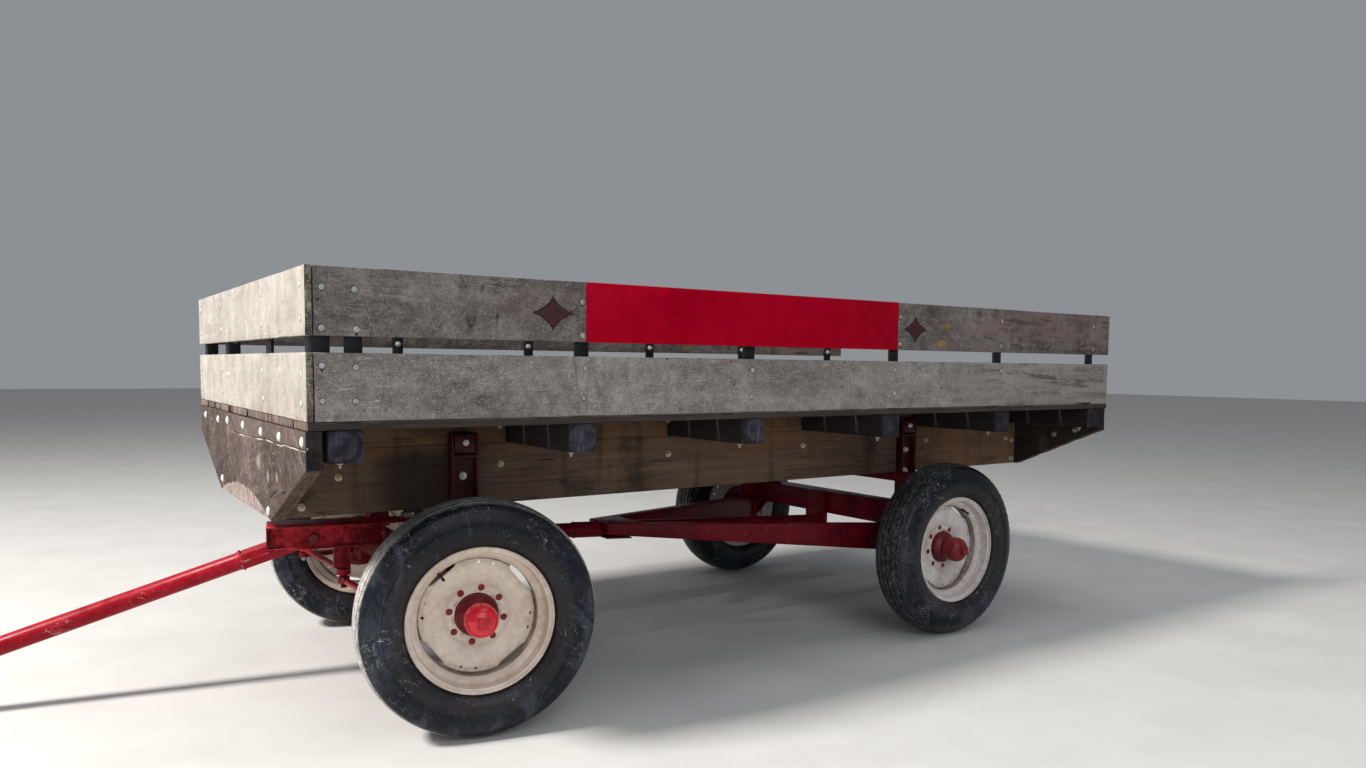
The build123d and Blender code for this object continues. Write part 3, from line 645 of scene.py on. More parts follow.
def board(name, dark, mid, light, vertical=0.0, streak=0.5, specks=0.6, pale=0.4, drip=0.3, rough=0.82, brown=(0.10, 0.065, 0.04), grime=0.35, axis=0, spread=1.0,
          rear=None, marks=0.0, scuffs=()):
    """Old weathered panel board: cloudy grey, fine scratches along it, specks, pale scabs, pits and run marks."""
    m = Mat(name, rough, spec=0.22)
    tone = m.attr("tone")
    w = m.math("MULTIPLY", tone, 11.0)
    s1, s2, s3, s4 = [2.2] * 3, [1.0] * 3, [1.0] * 3, [1.0] * 3
    s1[axis] = 0.9
    for i in range(3):
        s2[i] = 5.0 if i == axis else 95.0
        s3[i] = 2.2 if i == 2 else 16.0
        s4[i] = 1.6 if i == axis else 30.0
    cloud = m.noise(2.6, 7, 0.62, 0.3, m.map(s1), w)
    mott = m.noise(21.0, 8, 0.76, 0.2, w=w)
    scr = m.noise(1.0, 5, 0.68, 0.3, m.map(s2), w)
    band = m.noise(1.0, 4, 0.6, 0.3, m.map(s4), w)
    run = m.noise(1.0, 4, 0.6, 0.5, m.map(s3), w)
    f = m.math("ADD", m.math("MULTIPLY", cloud, 0.34), m.math("ADD", m.math("MULTIPLY", mott, 0.40), m.math("ADD", m.math("MULTIPLY", scr, 0.16 * streak), m.math("MULTIPLY", band, 0.10 * streak))))
    f = m.math("ADD", f, 0.13 * (1 - streak))
    col = m.ramp(f, [(0.5 - 0.105 / spread, dark), (0.5, mid), (0.5 + 0.105 / spread, light)])
    if vertical:
        col = m.mix(m.step(run, 0.47, 0.70, 0.0, vertical), col, tuple(min(1.0, c * 1.35) for c in light))
        col = m.mix(m.step(run, 0.47, 0.30, 0.0, vertical * 0.8), col, tuple(a * 0.4 + b * 0.6 for a, b in zip(dark, brown)))
        smear = m.noise(1.0, 3, 0.5, 0.8, m.map((5.5, 5.5, 2.4), loc=(1.7, 0.4, 0.2)), w)
        col = m.mix(m.step(smear, 0.56, 0.68, 0.0, vertical * 0.75), col, tuple(a * 0.55 + b * 0.45 for a, b in zip(mid, brown)))
    # fine salt and pepper, then grains of a few millimetres
    sp = m.noise(210.0, 2, 0.6)
    col = m.mix(m.step(sp, 0.58, 0.66, 0.0, specks), col, tuple(min(1, c * 1.6) for c in light))
    col = m.mix(m.step(sp, 0.42, 0.34, 0.0, specks), col, tuple(c * 0.45 for c in dark))
    sg = m.noise(88.0, 3, 0.65, w=w)
    col = m.mix(m.step(sg, 0.60, 0.70, 0.0, specks * 0.9), col, tuple(min(1, c * 1.45) for c in light))
    col = m.mix(m.step(sg, 0.40, 0.30, 0.0, specks * 0.9), col, tuple(c * 0.55 for c in dark))
    # pale scabs where the face has lifted, in patches
    v = m.noise(34.0, 6, 0.72, 0.9, m.map((1.3, 1.3, 0.8), loc=(0.3, 0.1, 0.2)), w)
    where = m.noise(4.2, 4, 0.6, w=w)
    chips = m.math("MULTIPLY", m.step(v, 0.585, 0.625, 0.0, pale), m.step(where, 0.50, 0.60))
    col = m.mix(chips, col, tuple(min(1, c * 1.42) for c in light))
    # dark pits and short nicks
    v2 = m.voronoi(19.0, vec=m.map(loc=(3.1, 0.7, 1.9)))
    pits = m.step(v2, 0.105, 0.055, 0.0, 0.85)
    pits = m.math("MULTIPLY", pits, m.step(m.noise(5.0, 3, w=w), 0.50, 0.56))
    col = m.mix(pits, col, tuple(c * 0.18 for c in dark))
    # thin scratches in several directions
    for turn, sc in ((4, 60.0), (-9, 44.0), (71, 30.0)):
        rot = [0, 0, 0]
        rot[1 if axis == 0 else 0] = turn
        ln = m.noise(1.0, 1, 0.5, 0.15, m.map([3.0 if i == axis else sc for i in range(3)], loc=(turn, 0.3, 0.1), rot=rot), w)
        lm = m.math("MULTIPLY", m.step(m.math("ABSOLUTE", m.math("SUBTRACT", ln, 0.5)), 0.007, 0.001), m.step(m.noise(7.0, 3, w=turn * 0.37), 0.52, 0.60, 0.0, 0.55))
        col = m.mix(lm, col, tuple(min(1, c * 1.5) for c in light) if turn != -9 else tuple(c * 0.35 for c in dark))
    # broad, faint patches: warmer, and darker
    wm = m.noise(1.0, 4, 0.6, 0.6, m.map((3.1, 3.1, 4.6), loc=(0.6, 0, 2.2)), w)
    col = m.mix(m.step(wm, 0.50, 0.66, 0.0, 0.30), col, tuple(a * 0.35 + b * 0.65 for a, b in zip(mid, brown)))
    if rear:
        # towards the open end the board turns to a warmer, streaked colour
        k = m.math("MULTIPLY", m.step(m.xyz()[0], -1.05, -1.55), m.step(m.noise(1.0, 5, 0.65, 0.5, m.map((1.6, 1.6, 26.0), loc=(0.2, 0, 0.4)), w), 0.42, 0.60))
        col = m.mix(m.math("MULTIPLY", k, 0.75), col, rear)
        k = m.math("MULTIPLY", m.step(m.xyz()[0], -1.2, -1.7), m.step(m.noise(1.0, 5, 0.7, 0.5, m.map((4.0, 4.0, 30.0), loc=(1.2, 0, 0.9)), w), 0.54, 0.62))
        col = m.mix(m.math("MULTIPLY", k, 0.60), col, tuple(c * 0.6 for c in dark))
    if marks:
        # upright cracks with dark halos, at a few places along the board
        mk = m.noise(1.0, 2, 0.5, 0.25, m.map((7.0, 7.0, 1.3), loc=(0.9, 0, 0.35)), w)
        near = m.step(m.math("ABSOLUTE", m.math("SUBTRACT", mk, 0.5)), 0.030, 0.004)
        where2 = m.step(m.noise(1.0, 3, 0.55, 0.2, m.map((2.9, 2.9, 5.5), loc=(4.0, 0, 1.0)), w), 0.52, 0.60)
        col = m.mix(m.math("MULTIPLY", m.math("MULTIPLY", near, where2), 0.38 * marks), col, tuple(c * 0.45 for c in dark))
        thin = m.step(m.math("ABSOLUTE", m.math("SUBTRACT", mk, 0.5)), 0.0050, 0.0008)
        col = m.mix(m.math("MULTIPLY", m.math("MULTIPLY", thin, where2), 0.85 * marks * marks), col, tuple(c * 0.22 for c in dark))
    # small worn ochre marks
    for cx, cz, rx, rz in scuffs:
        px, _, pz = m.xyz()
        u = m.math("DIVIDE", m.math("SUBTRACT", px, cx), rx)
        v = m.math("DIVIDE", m.math("SUBTRACT", m.math("ADD", pz, m.math("MULTIPLY", m.math("SUBTRACT", px, cx), 0.15)), cz), rz)
        r = m.math("ADD", m.math("SQRT", m.math("ADD", m.math("MULTIPLY", u, u), m.math("MULTIPLY", v, v))), m.math("MULTIPLY", m.math("SUBTRACT", m.noise(48.0, 4, 0.7), 0.5), 2.2))
        col = m.mix(m.step(r, 1.0, 0.55, 0.0, 0.75), col, lin(156, 122, 62))
    # brown runs down the face
    dr = m.noise(1.0, 3, 0.5, 0.3, m.map((21, 21, 1.1)), w)
    dr = m.math("MULTIPLY", m.step(dr, 0.60, 0.74, 0.0, drip), m.step(cloud, 0.35, 0.6))
    col = m.mix(dr, col, brown)
    # grime in clouds
    col = m.mix(m.step(m.noise(1.6, 5, 0.66, 0.6, w=w), 0.50, 0.68, 0.0, grime), col, tuple(c * 0.50 for c in dark))
    h = m.math("ADD", m.math("MULTIPLY", scr, 0.5), m.math("ADD", m.math("MULTIPLY", mott, 0.35), m.math("MULTIPLY", chips, 0.35)))
    h = m.math("SUBTRACT", h, m.math("MULTIPLY", pits, 1.3))
    rr = m.step(mott, 0.35, 0.65, rough + 0.08, rough - 0.08)
    return m.out(col, rr, m.bump(h, 0.38, 0.0022))


def paint(name, base, dark, faded, chip_col=(0.50, 0.47, 0.45), rust=(0.10, 0.035, 0.015), chips=0.0, wear=0.5, rough=0.38, fade_and_top_light=0.4,
          dust=0.3, dust_col=(0.26, 0.22, 0.18), scale=1.0, coat=0.0, edge=0.004, orange=0.25, spec=0.3):
    """Old enamel on steel: uneven colour, chipped edges, scratches, rust spots and dust."""
    m = Mat(name, rough, spec=spec)
    n1 = m.noise(3.5 * scale, 5, 0.6, 0.4)
    n2 = m.noise(38.0 * scale, 5, 0.65)
    n3 = m.noise(150.0, 3, 0.6)
    col = m.ramp(m.math("ADD", m.math("MULTIPLY", n1, 0.6), m.math("MULTIPLY", n2, 0.4)), [(0.36, dark), (0.5, base), (0.66, faded)])
    # upward faces lighten towards the faded colour: fading, and on the bracket also painted sunlight on its top
    up = m.step(m.normal_z(), 0.2, 0.95)
    col = m.mix(m.math("MULTIPLY", up, fade_and_top_light), col, faded)
    # scratches
    sc = m.noise(1.0, 2, 0.5, 0.2, m.map((11, 95, 60), rot=(12, 31, 7)))
    sc = m.step(m.math("ABSOLUTE", m.math("SUBTRACT", sc, 0.5)), 0.006, 0.0, 0.0, wear)
    sc = m.math("MULTIPLY", sc, m.step(m.noise(6.0, 3), 0.55, 0.68))
    col = m.mix(sc, col, chip_col)
    bare = sc
    if edge:
        e = m.edge(edge)
        ew = m.math("MULTIPLY", e, m.step(m.noise(45.0, 4, 0.7), 0.50, 0.62, 0.0, wear))
        col = m.mix(ew, col, tuple(a * 0.5 + b * 0.5 for a, b in zip(chip_col, rust)))
        bare = m.math("MAXIMUM", bare, ew)
    if chips:
        v = m.noise(30.0, 5, 0.7, 1.2, m.map((1, 1, 1.0)))
        c = m.math("MULTIPLY", m.step(v, 0.66, 0.70, 0.0, 1.0), m.step(n1, 0.52, 0.60, 0.0, chips))
        col = m.mix(c, col, chip_col)
        bare = m.math("MAXIMUM", bare, c)
    rs = m.math("MULTIPLY", m.step(m.noise(60.0, 4, 0.75), 0.66, 0.74), m.step(m.noise(5.0, 3), 0.5, 0.62, 0.0, orange))
    col = m.mix(rs, col, rust)
    if dust:
        d = m.math("MULTIPLY", m.step(m.noise(7.0, 6, 0.7), 0.35, 0.75, 0.15, 1.0), m.math("MULTIPLY", m.math("ADD", m.math("MULTIPLY", up, 0.8), 0.2), dust))
        col = m.mix(d, col, dust_col)
        rr = m.math("ADD", m.step(n2, 0.35, 0.7, rough - 0.06, rough + 0.12), m.math("MULTIPLY", d, 0.5))
    else:
        rr = m.step(n2, 0.35, 0.7, rough - 0.06, rough + 0.12)
    h = m.math("SUBTRACT", m.math("ADD", m.math("MULTIPLY", n2, 0.3), m.math("MULTIPLY", n3, 0.12)), m.math("MULTIPLY", bare, 0.8))
    if coat:
        m.b.inputs["Coat Weight"].default_value = coat
        m.b.inputs["Coat Roughness"].default_value = 0.12
    return m.out(col, rr, m.bump(h, 0.25, 0.0012))


def zinc(name, base=(0.42, 0.42, 0.42), rough=0.5, white=0.4, rust=0.1, metal=0.75):
    """Galvanised or plain steel with white bloom."""
    m = Mat(name, rough, metal)
    n = m.noise(120.0, 4, 0.6)
    n2 = m.noise(22.0, 4, 0.6)
    col = m.ramp(n, [(0.3, tuple(c * 0.55 for c in base)), (0.5, base), (0.7, tuple(min(1, c * 1.3) for c in base))])
    col = m.mix(m.step(n2, 0.45, 0.7, 0.0, white), col, (0.62, 0.62, 0.60))
    col = m.mix(m.step(m.noise(80.0, 3, 0.7), 0.60, 0.72, 0.0, rust), col, (0.13, 0.055, 0.02))
    return m.out(col, m.step(n, 0.3, 0.7, rough - 0.1, rough + 0.18), m.bump(n, 0.3, 0.0006))


# ------------------------------------------------------------------ the finishes
M = {}
M["side_up"] = board("board_side_upper", lin(54, 47, 43), lin(99, 92, 88), lin(136, 129, 124), streak=0.35, specks=0.42, pale=0.60, drip=0.45, grime=0.42, brown=lin(74, 54, 46),
                     rear=lin(128, 104, 98), marks=0.85, scuffs=((-1.250, 1.262, 0.036, 0.013), (-1.228, 1.196, 0.034, 0.016)))
M["side_low"] = board("board_side_lower", lin(84, 77, 73), lin(126, 120, 116), lin(160, 154, 150), streak=0.30, specks=0.42, pale=0.45, drip=0.30, grime=0.24, brown=lin(88, 70, 62),
                      marks=0.45, rear=lin(150, 140, 134))
# front boards: the same weathered board as the sides, painted paler as if sunlit
M["front"] = board("board_front", lin(140, 132, 124), lin(168, 162, 154), lin(190, 185, 178), vertical=0.22, streak=0.12, specks=0.10, pale=0.16, drip=0.20,
                   brown=lin(112, 98, 84), grime=0.10, axis=1, spread=0.95)


def speckled(name, base, other, rough=0.5, scale=60.0, strength=0.2):
    """Small flat pieces: two shades of one colour, with fine pale grains."""
    m = Mat(name, rough, spec=0.3)
    n = m.noise(scale, 5, 0.65)
    c = m.ramp(n, [(0.35, other), (0.6, base)])
    c = m.mix(m.step(m.noise(200.0, 2), 0.62, 0.70, 0.0, 0.5), c, tuple(min(1, v * 2.0 + 0.01) for v in base))
    return m.out(c, None, m.bump(n, strength, 0.0006))


M["stain"] = speckled("bolt_stain", lin(56, 46, 41), lin(36, 29, 26), 0.85, 90.0)
# pale stain: the same bolt stain, painted lighter as if sunlit, used on the front boards
M["stain_pale"] = speckled("bolt_stain_pale", lin(124, 106, 90), lin(94, 78, 64), 0.85, 90.0)
M["edge"] = wood("board_edge", lin(40, 34, 31), lin(80, 72, 68), lin(122, 112, 106), grain=2, fibre=1.2, stain=0.3, crack=0.3, knot=0.0, bump=0.6)
M["front_edge"] = board("board_front_edge", lin(30, 24, 21), lin(92, 82, 76), lin(156, 144, 134), streak=0.7, specks=0.8, pale=0.9, drip=0.0, grime=0.55, axis=2, spread=1.5)
M["deck"] = wood("deck_plank", lin(52, 43, 38), lin(96, 86, 77), lin(138, 128, 116), grain=0, fibre=1.3, stain=0.35, crack=0.9, knot=0.5, bump=0.8, dust=0.25, dust_col=lin(144, 136, 124), sides=lin(46, 37, 35))
M["deck_end"] = wood("deck_plank_end", lin(34, 25, 22), lin(84, 68, 62), lin(150, 134, 122), grain=2, fibre=1.8, stain=0.5, crack=1.0, knot=0.0, bump=1.2)
M["sill"] = timber_shade(wood("sill_timber", lin(52, 38, 30), lin(106, 84, 68), lin(142, 118, 98), grain=0, fibre=1.1, stain=0.40, crack=0.7, knot=0.8, bump=0.6))
# cross sills: weathered timber darkened to near black as painted shade of the deck above
M["sill_y"] = wood("cross_sill_timber", lin(14, 11, 11), lin(32, 26, 25), lin(56, 47, 44), grain=1, fibre=1.0, stain=0.4, crack=0.7, knot=0.5, bump=0.6)
# sill ends: dark bluish end grain, partly their own dirt and partly painted shade under the deck
M["sill_end"] = end_grain("sill_end_grain", lin(18, 16, 22), lin(40, 37, 46), lin(70, 68, 78), SILL_BOT + SILL_H / 2)


def end_panel_mat():
    """Dark rotary-cut ply: thin pale lines that wander round a few hearts, cloudy brown, two checks, one pale torn patch."""
    m = Mat("end_panel_ply", 0.86, spec=0.25)
    x, y, z = m.xyz()
    wy = m.math("ADD", m.math("MULTIPLY", m.noise(3.4, 4, 0.55, 0.5), 0.30), m.math("MULTIPLY", m.noise(13.0, 4, 0.6), 0.07))
    wz = m.math("MULTIPLY", m.noise(2.6, 4, 0.55, 0.7, m.map(loc=(5, 3, 1))), 0.30)
    dist = None
    for cy, cz, sy, sz in ((-0.05, 0.80, 1.0, 0.8), (0.50, 0.66, 0.7, 1.1), (-0.6, 0.76, 0.9, 1.3)):
        a = m.math("MULTIPLY", m.math("ADD", m.math("SUBTRACT", y, cy), wy), sy)
        b = m.math("MULTIPLY", m.math("ADD", m.math("SUBTRACT", z, cz), wz), sz)
        d = m.math("SQRT", m.math("ADD", m.math("MULTIPLY", a, a), m.math("MULTIPLY", b, b)))
        dist = d if dist is None else m.node("ShaderNodeMath", {0: dist, 1: d, 2: 0.10}, operation="SMOOTH_MIN").outputs[0]
    rings = m.math("SINE", m.math("MULTIPLY", dist, 330.0))
    rings2 = m.math("SINE", m.math("MULTIPLY", dist, 150.0))
    fine = m.noise(1.0, 6, 0.75, 0.3, m.map((40, 26, 26)))
    blot = m.noise(4.0, 7, 0.68, 0.5)
    grit = m.noise(130.0, 3, 0.65)
    f = m.math("ADD", m.math("MULTIPLY", rings, 0.015), m.math("ADD", m.math("MULTIPLY", rings2, 0.018), m.math("ADD", m.math("MULTIPLY", blot, 0.55), m.math("MULTIPLY", fine, 0.45))))
    col = m.ramp(f, [(0.36, lin(44, 34, 31)), (0.47, lin(76, 63, 59)), (0.57, lin(98, 85, 80)), (0.70, lin(138, 124, 118))])
    # thin pale lines that follow the rings in places
    for ring, lo, w4 in ((rings2, 0.955, 0.0), (rings, 0.94, 6.0)):
        ridge = m.math("MULTIPLY", m.step(ring, lo, 0.998), m.step(m.noise(7.0, 4, 0.65, w=w4), 0.50, 0.60, 0.0, 0.62))
        col = m.mix(m.math("MULTIPLY", ridge, m.step(grit, 0.36, 0.55, 0.35, 1.0)), col, lin(176, 162, 152))
    dark_line = m.math("MULTIPLY", m.step(rings2, -0.93, -0.995), m.step(m.noise(7.0, 3, w=2.0), 0.48, 0.60, 0.0, 0.5))
    col = m.mix(dark_line, col, lin(48, 37, 34))
    # pale grains, and a few upright pale rubs
    col = m.mix(m.math("MULTIPLY", m.step(grit, 0.60, 0.68), m.step(m.noise(5.0, 3, w=9.0), 0.44, 0.60, 0.1, 0.6)), col, lin(176, 164, 156))
    for cy, cz, ry, rz in ((0.262, 0.798, 0.042, 0.032), (0.400, 0.765, 0.018, 0.026), (0.520, 0.775, 0.022, 0.018)):
        u = m.math("DIVIDE", m.math("SUBTRACT", y, cy), ry)
        v = m.math("DIVIDE", m.math("SUBTRACT", z, cz), rz)
        r = m.math("ADD", m.math("SQRT", m.math("ADD", m.math("MULTIPLY", u, u), m.math("MULTIPLY", v, v))), m.math("MULTIPLY", m.math("SUBTRACT", m.noise(26.0, 4, 0.65), 0.5), 1.6))
        rub = m.math("MULTIPLY", m.step(r, 1.0, 0.30, 0.0, 0.36), m.step(x, 0.9, 1.0))
        col = m.mix(rub, col, lin(188, 178, 164))
    # pale torn patch along the lower edge, front panel only
    front = m.step(x, 0.9, 1.0)
    n = m.math("MULTIPLY", m.math("SUBTRACT", m.noise(16.0, 4, 0.6), 0.5), 0.020)
    top = m.math("SUBTRACT", 0.699, m.math("MULTIPLY", m.math("MULTIPLY", m.math("SUBTRACT", y, 0.0), m.math("SUBTRACT", y, 0.0)), 0.345))
    patch = m.math("MULTIPLY", m.step(m.math("SUBTRACT", m.math("ADD", top, n), z), -0.0015, 0.0015), front)
    col = m.mix(m.math("MULTIPLY", patch, 0.92), col, m.ramp(m.noise(30.0, 5, 0.65), [(0.34, lin(122, 106, 100)), (0.6, lin(166, 152, 146))]))
    # torn veneer: a line under the bolt row, dark with a pale lip
    ly = m.math("ADD", 0.868, m.math("MULTIPLY", m.math("SUBTRACT", m.noise(5.0, 4, 0.5, 0.4, m.map((1, 1, 0.2))), 0.5), 0.030))
    ly = m.math("ADD", ly, m.math("MULTIPLY", m.math("MAXIMUM", y, 0.0), 0.012))
    off = m.math("SUBTRACT", z, ly)
    where = m.math("MULTIPLY", m.step(y, -0.22, -0.14), m.step(m.noise(6.0, 2, w=3.0), 0.36, 0.50, 0.25, 1.0))
    lm = m.math("MULTIPLY", m.step(m.math("ABSOLUTE", off), 0.0022, 0.0008), where)
    col = m.mix(m.math("MULTIPLY", lm, 0.8), col, lin(44, 34, 31))
    lip = m.math("MULTIPLY", m.step(m.math("ABSOLUTE", m.math("ADD", off, 0.0035)), 0.0024, 0.0008), m.math("MULTIPLY", where, m.step(m.noise(9.0, 2, w=1.0), 0.40, 0.56)))
    col = m.mix(m.math("MULTIPLY", lip, 0.85), col, lin(214, 204, 194))
    above = m.math("MULTIPLY", m.step(off, 0.001, 0.004), m.step(y, -0.20, -0.10))
    col = m.mix(m.math("MULTIPLY", above, 0.30), col, lin(112, 98, 94))
    # two short open cracks
    crack = None
    for y0, z0, y1, z1, w4 in ((0.420, 0.706, 0.528, 0.742, 1.0), (0.575, 0.734, 0.640, 0.748, 5.0)):
        ly2, lz2 = y1 - y0, z1 - z0
        L = math.hypot(ly2, lz2)
        a = m.math("DIVIDE", m.math("ADD", m.math("MULTIPLY", m.math("SUBTRACT", y, y0), ly2), m.math("MULTIPLY", m.math("SUBTRACT", z, z0), lz2)), L * L)
        c = m.math("DIVIDE", m.math("SUBTRACT", m.math("MULTIPLY", m.math("SUBTRACT", z, z0), ly2), m.math("MULTIPLY", m.math("SUBTRACT", y, y0), lz2)), L)
        c = m.math("ADD", c, m.math("MULTIPLY", m.math("SUBTRACT", m.noise(24.0, 3, 0.6, w=w4), 0.5), 0.022))
        k = m.math("MULTIPLY", m.step(m.math("ABSOLUTE", c), 0.0036, 0.0016), m.math("MULTIPLY", m.step(a, 0.0, 0.12), m.step(a, 1.0, 0.88)))
        crack = k if crack is None else m.math("MAXIMUM", crack, k)
    crack = m.math("MULTIPLY", crack, front)
    col = m.mix(crack, col, lin(14, 9, 9))
    h = m.math("ADD", m.math("MULTIPLY", rings2, 0.05), m.math("ADD", m.math("MULTIPLY", rings, 0.03), m.math("MULTIPLY", fine, 0.6)))
    h = m.math("SUBTRACT", h, m.math("ADD", m.math("MULTIPLY", lm, 0.8), m.math("MULTIPLY", crack, 1.5)))
    return m.out(col, None, m.bump(h, 0.5, 0.003))


def ply_edge_mat():
    """Edge of the end panels: nearly black above the corner as painted shade, dark brown along the cut, plies as fine
    lines.
    """
    m = Mat("ply_edge", 0.88, spec=0.2)
    x, y, z = m.xyz()
    plies = m.noise(1.0, 3, 0.6, 0.2, m.map((240, 9, 9)))
    n = m.noise(20.0, 6, 0.7)
    f = m.math("ADD", m.math("MULTIPLY", plies, 0.45), m.math("MULTIPLY", n, 0.55))
    low = m.ramp(f, [(0.34, lin(34, 25, 19)), (0.5, lin(74, 57, 43)), (0.68, lin(116, 94, 74))])
    # painted shade: above the corner the upright edge is made nearly black, the cut below keeps its brown
    high = m.ramp(f, [(0.34, lin(14, 11, 12)), (0.5, lin(30, 25, 26)), (0.72, lin(62, 55, 55))])
    col = m.mix(m.step(m.math("ADD", z, m.math("MULTIPLY", m.math("SUBTRACT", n, 0.5), 0.02)), 0.816, 0.832), low, high)
    return m.out(col, None, m.bump(f, 0.6, 0.0025))


M["end_panel"] = end_panel_mat()
M["ply_edge"] = ply_edge_mat()
M["splinter"] = speckled("torn_splinter", lin(210, 200, 188), lin(150, 136, 122), 0.8)
M["panel_back"] = wood("end_panel_back", lin(24, 18, 16), lin(48, 39, 35), lin(76, 65, 60), grain=1, fibre=1.0, stain=0.4, crack=0.6, knot=0.3, bump=0.5)
M["red_board"] = paint("red_panel_paint", lin(160, 2, 30), lin(136, 1, 22), lin(166, 6, 32), chips=0.0, wear=0.06, rough=0.34, fade_and_top_light=0.05, dust=0.0, edge=0, orange=0.0, scale=0.4, spec=0.02)
M["gear"] = paint("gear_red_paint", lin(94, 6, 22), lin(62, 3, 13), lin(124, 16, 34), wear=0.6, rough=0.38, fade_and_top_light=0.25, dust=0.05, chips=0.35, dust_col=lin(88, 40, 40), chip_col=lin(176, 112, 102), spec=0.12)
M["stake"] = paint("stake_red_paint", lin(62, 11, 18), lin(40, 6, 11), lin(92, 22, 30), wear=0.5, rough=0.42, fade_and_top_light=0.3, dust=0.10, chips=0.2, spec=0.20, dust_col=lin(76, 48, 46), chip_col=lin(150, 104, 98))
M["tongue"] = paint("tongue_red_paint", lin(150, 12, 32), lin(122, 6, 22), lin(170, 36, 50), chip_col=lin(220, 190, 184), wear=1.0, rough=0.32, fade_and_top_light=0.25, dust=0.05, chips=1.0,
                    dust_col=lin(176, 90, 90), spec=0.14)
# bracket: upward faces nearly all in the bright red and pale pink dust, part fading and part painted sunlight on the
# top
M["bracket"] = paint("bracket_red_paint", lin(104, 13, 23), lin(66, 6, 14), lin(204, 46, 58), chip_col=lin(214, 160, 150), wear=0.7, rough=0.34, fade_and_top_light=0.85, dust=0.05, chips=0.4,
                     dust_col=lin(180, 84, 80), spec=0.08)
# front hub cap: the hub's red painted brighter, as if sunlit
M["hub"] = paint("hub_cap_paint", lin(214, 18, 42), lin(178, 8, 28), lin(226, 40, 60), wear=0.4, rough=0.14, fade_and_top_light=0.1, dust=0.0, chips=0.35, chip_col=lin(226, 140, 130), spec=0.4, coat=0.2)
# front hub boss: brighter as painted sunlight, like the cap
M["hub_boss"] = paint("hub_boss_paint", lin(176, 20, 38), lin(140, 10, 26), lin(206, 50, 64), wear=0.9, rough=0.22, fade_and_top_light=0.1, dust=0.0, chips=0.4, chip_col=lin(226, 140, 130), spec=0.35)
# hub bell: the hub's red darkened as painted shade under the cap
M["hub_bell"] = paint("hub_bell_paint", lin(92, 10, 24), lin(62, 5, 14), lin(128, 22, 36), wear=0.4, rough=0.34, fade_and_top_light=0.25, dust=0.06, chips=0.3, chip_col=lin(190, 116, 108), spec=0.3)
# rear hub caps: the same red made darker as painted shade
M["hub_rear"] = paint("hub_rear_paint", lin(112, 16, 30), lin(80, 8, 18), lin(146, 34, 46), wear=0.4, rough=0.30, fade_and_top_light=0.3, dust=0.06, chips=0.35, chip_col=lin(196, 120, 112), spec=0.3)
M["pin_head"] = paint("pin_head_paint", lin(98, 12, 22), lin(70, 7, 14), lin(128, 26, 34), wear=0.5, rough=0.36, fade_and_top_light=0.2, dust=0.06, chips=0.3, chip_col=lin(190, 116, 108), spec=0.28)
M["lug"] = paint("lug_red_paint", lin(122, 12, 28), lin(88, 7, 18), lin(156, 30, 44), wear=0.4, rough=0.34, fade_and_top_light=0.2, dust=0.06, chips=0.3, chip_col=lin(190, 120, 110))
M["black"] = paint("black_steel_paint", lin(13, 13, 17), lin(7, 7, 10), lin(28, 28, 34), chip_col=lin(70, 68, 68), wear=0.30, rough=0.42, fade_and_top_light=0.4, dust=0.16, chips=0.2, dust_col=lin(74, 70, 68), spec=0.22)
M["zinc"] = zinc("zinc_bolt", (0.33, 0.325, 0.32), 0.55, 0.40, 0.14, 0.40)
# pale zinc: on the front board and end panel heads it is partly painted light, paler than the side heads as if sunlit
M["zinc_pale"] = zinc("zinc_bolt_pale", (0.72, 0.70, 0.66), 0.5, 0.6, 0.06, 0.20)
# ivory bolts on the sills' outer faces: pale yellowish zinc, partly painted sheen of heads that catch the light in the
# shade
M["bolt_ivory"] = zinc("ivory_bolt", (0.50, 0.45, 0.30), 0.5, 0.20, 0.30, 0.15)
M["dull"] = zinc("dull_bolt", (0.34, 0.33, 0.30), 0.55, 0.45, 0.30, 0.40)
M["steel"] = zinc("bare_steel", (0.30, 0.29, 0.28), 0.42, 0.1, 0.35, 0.85)


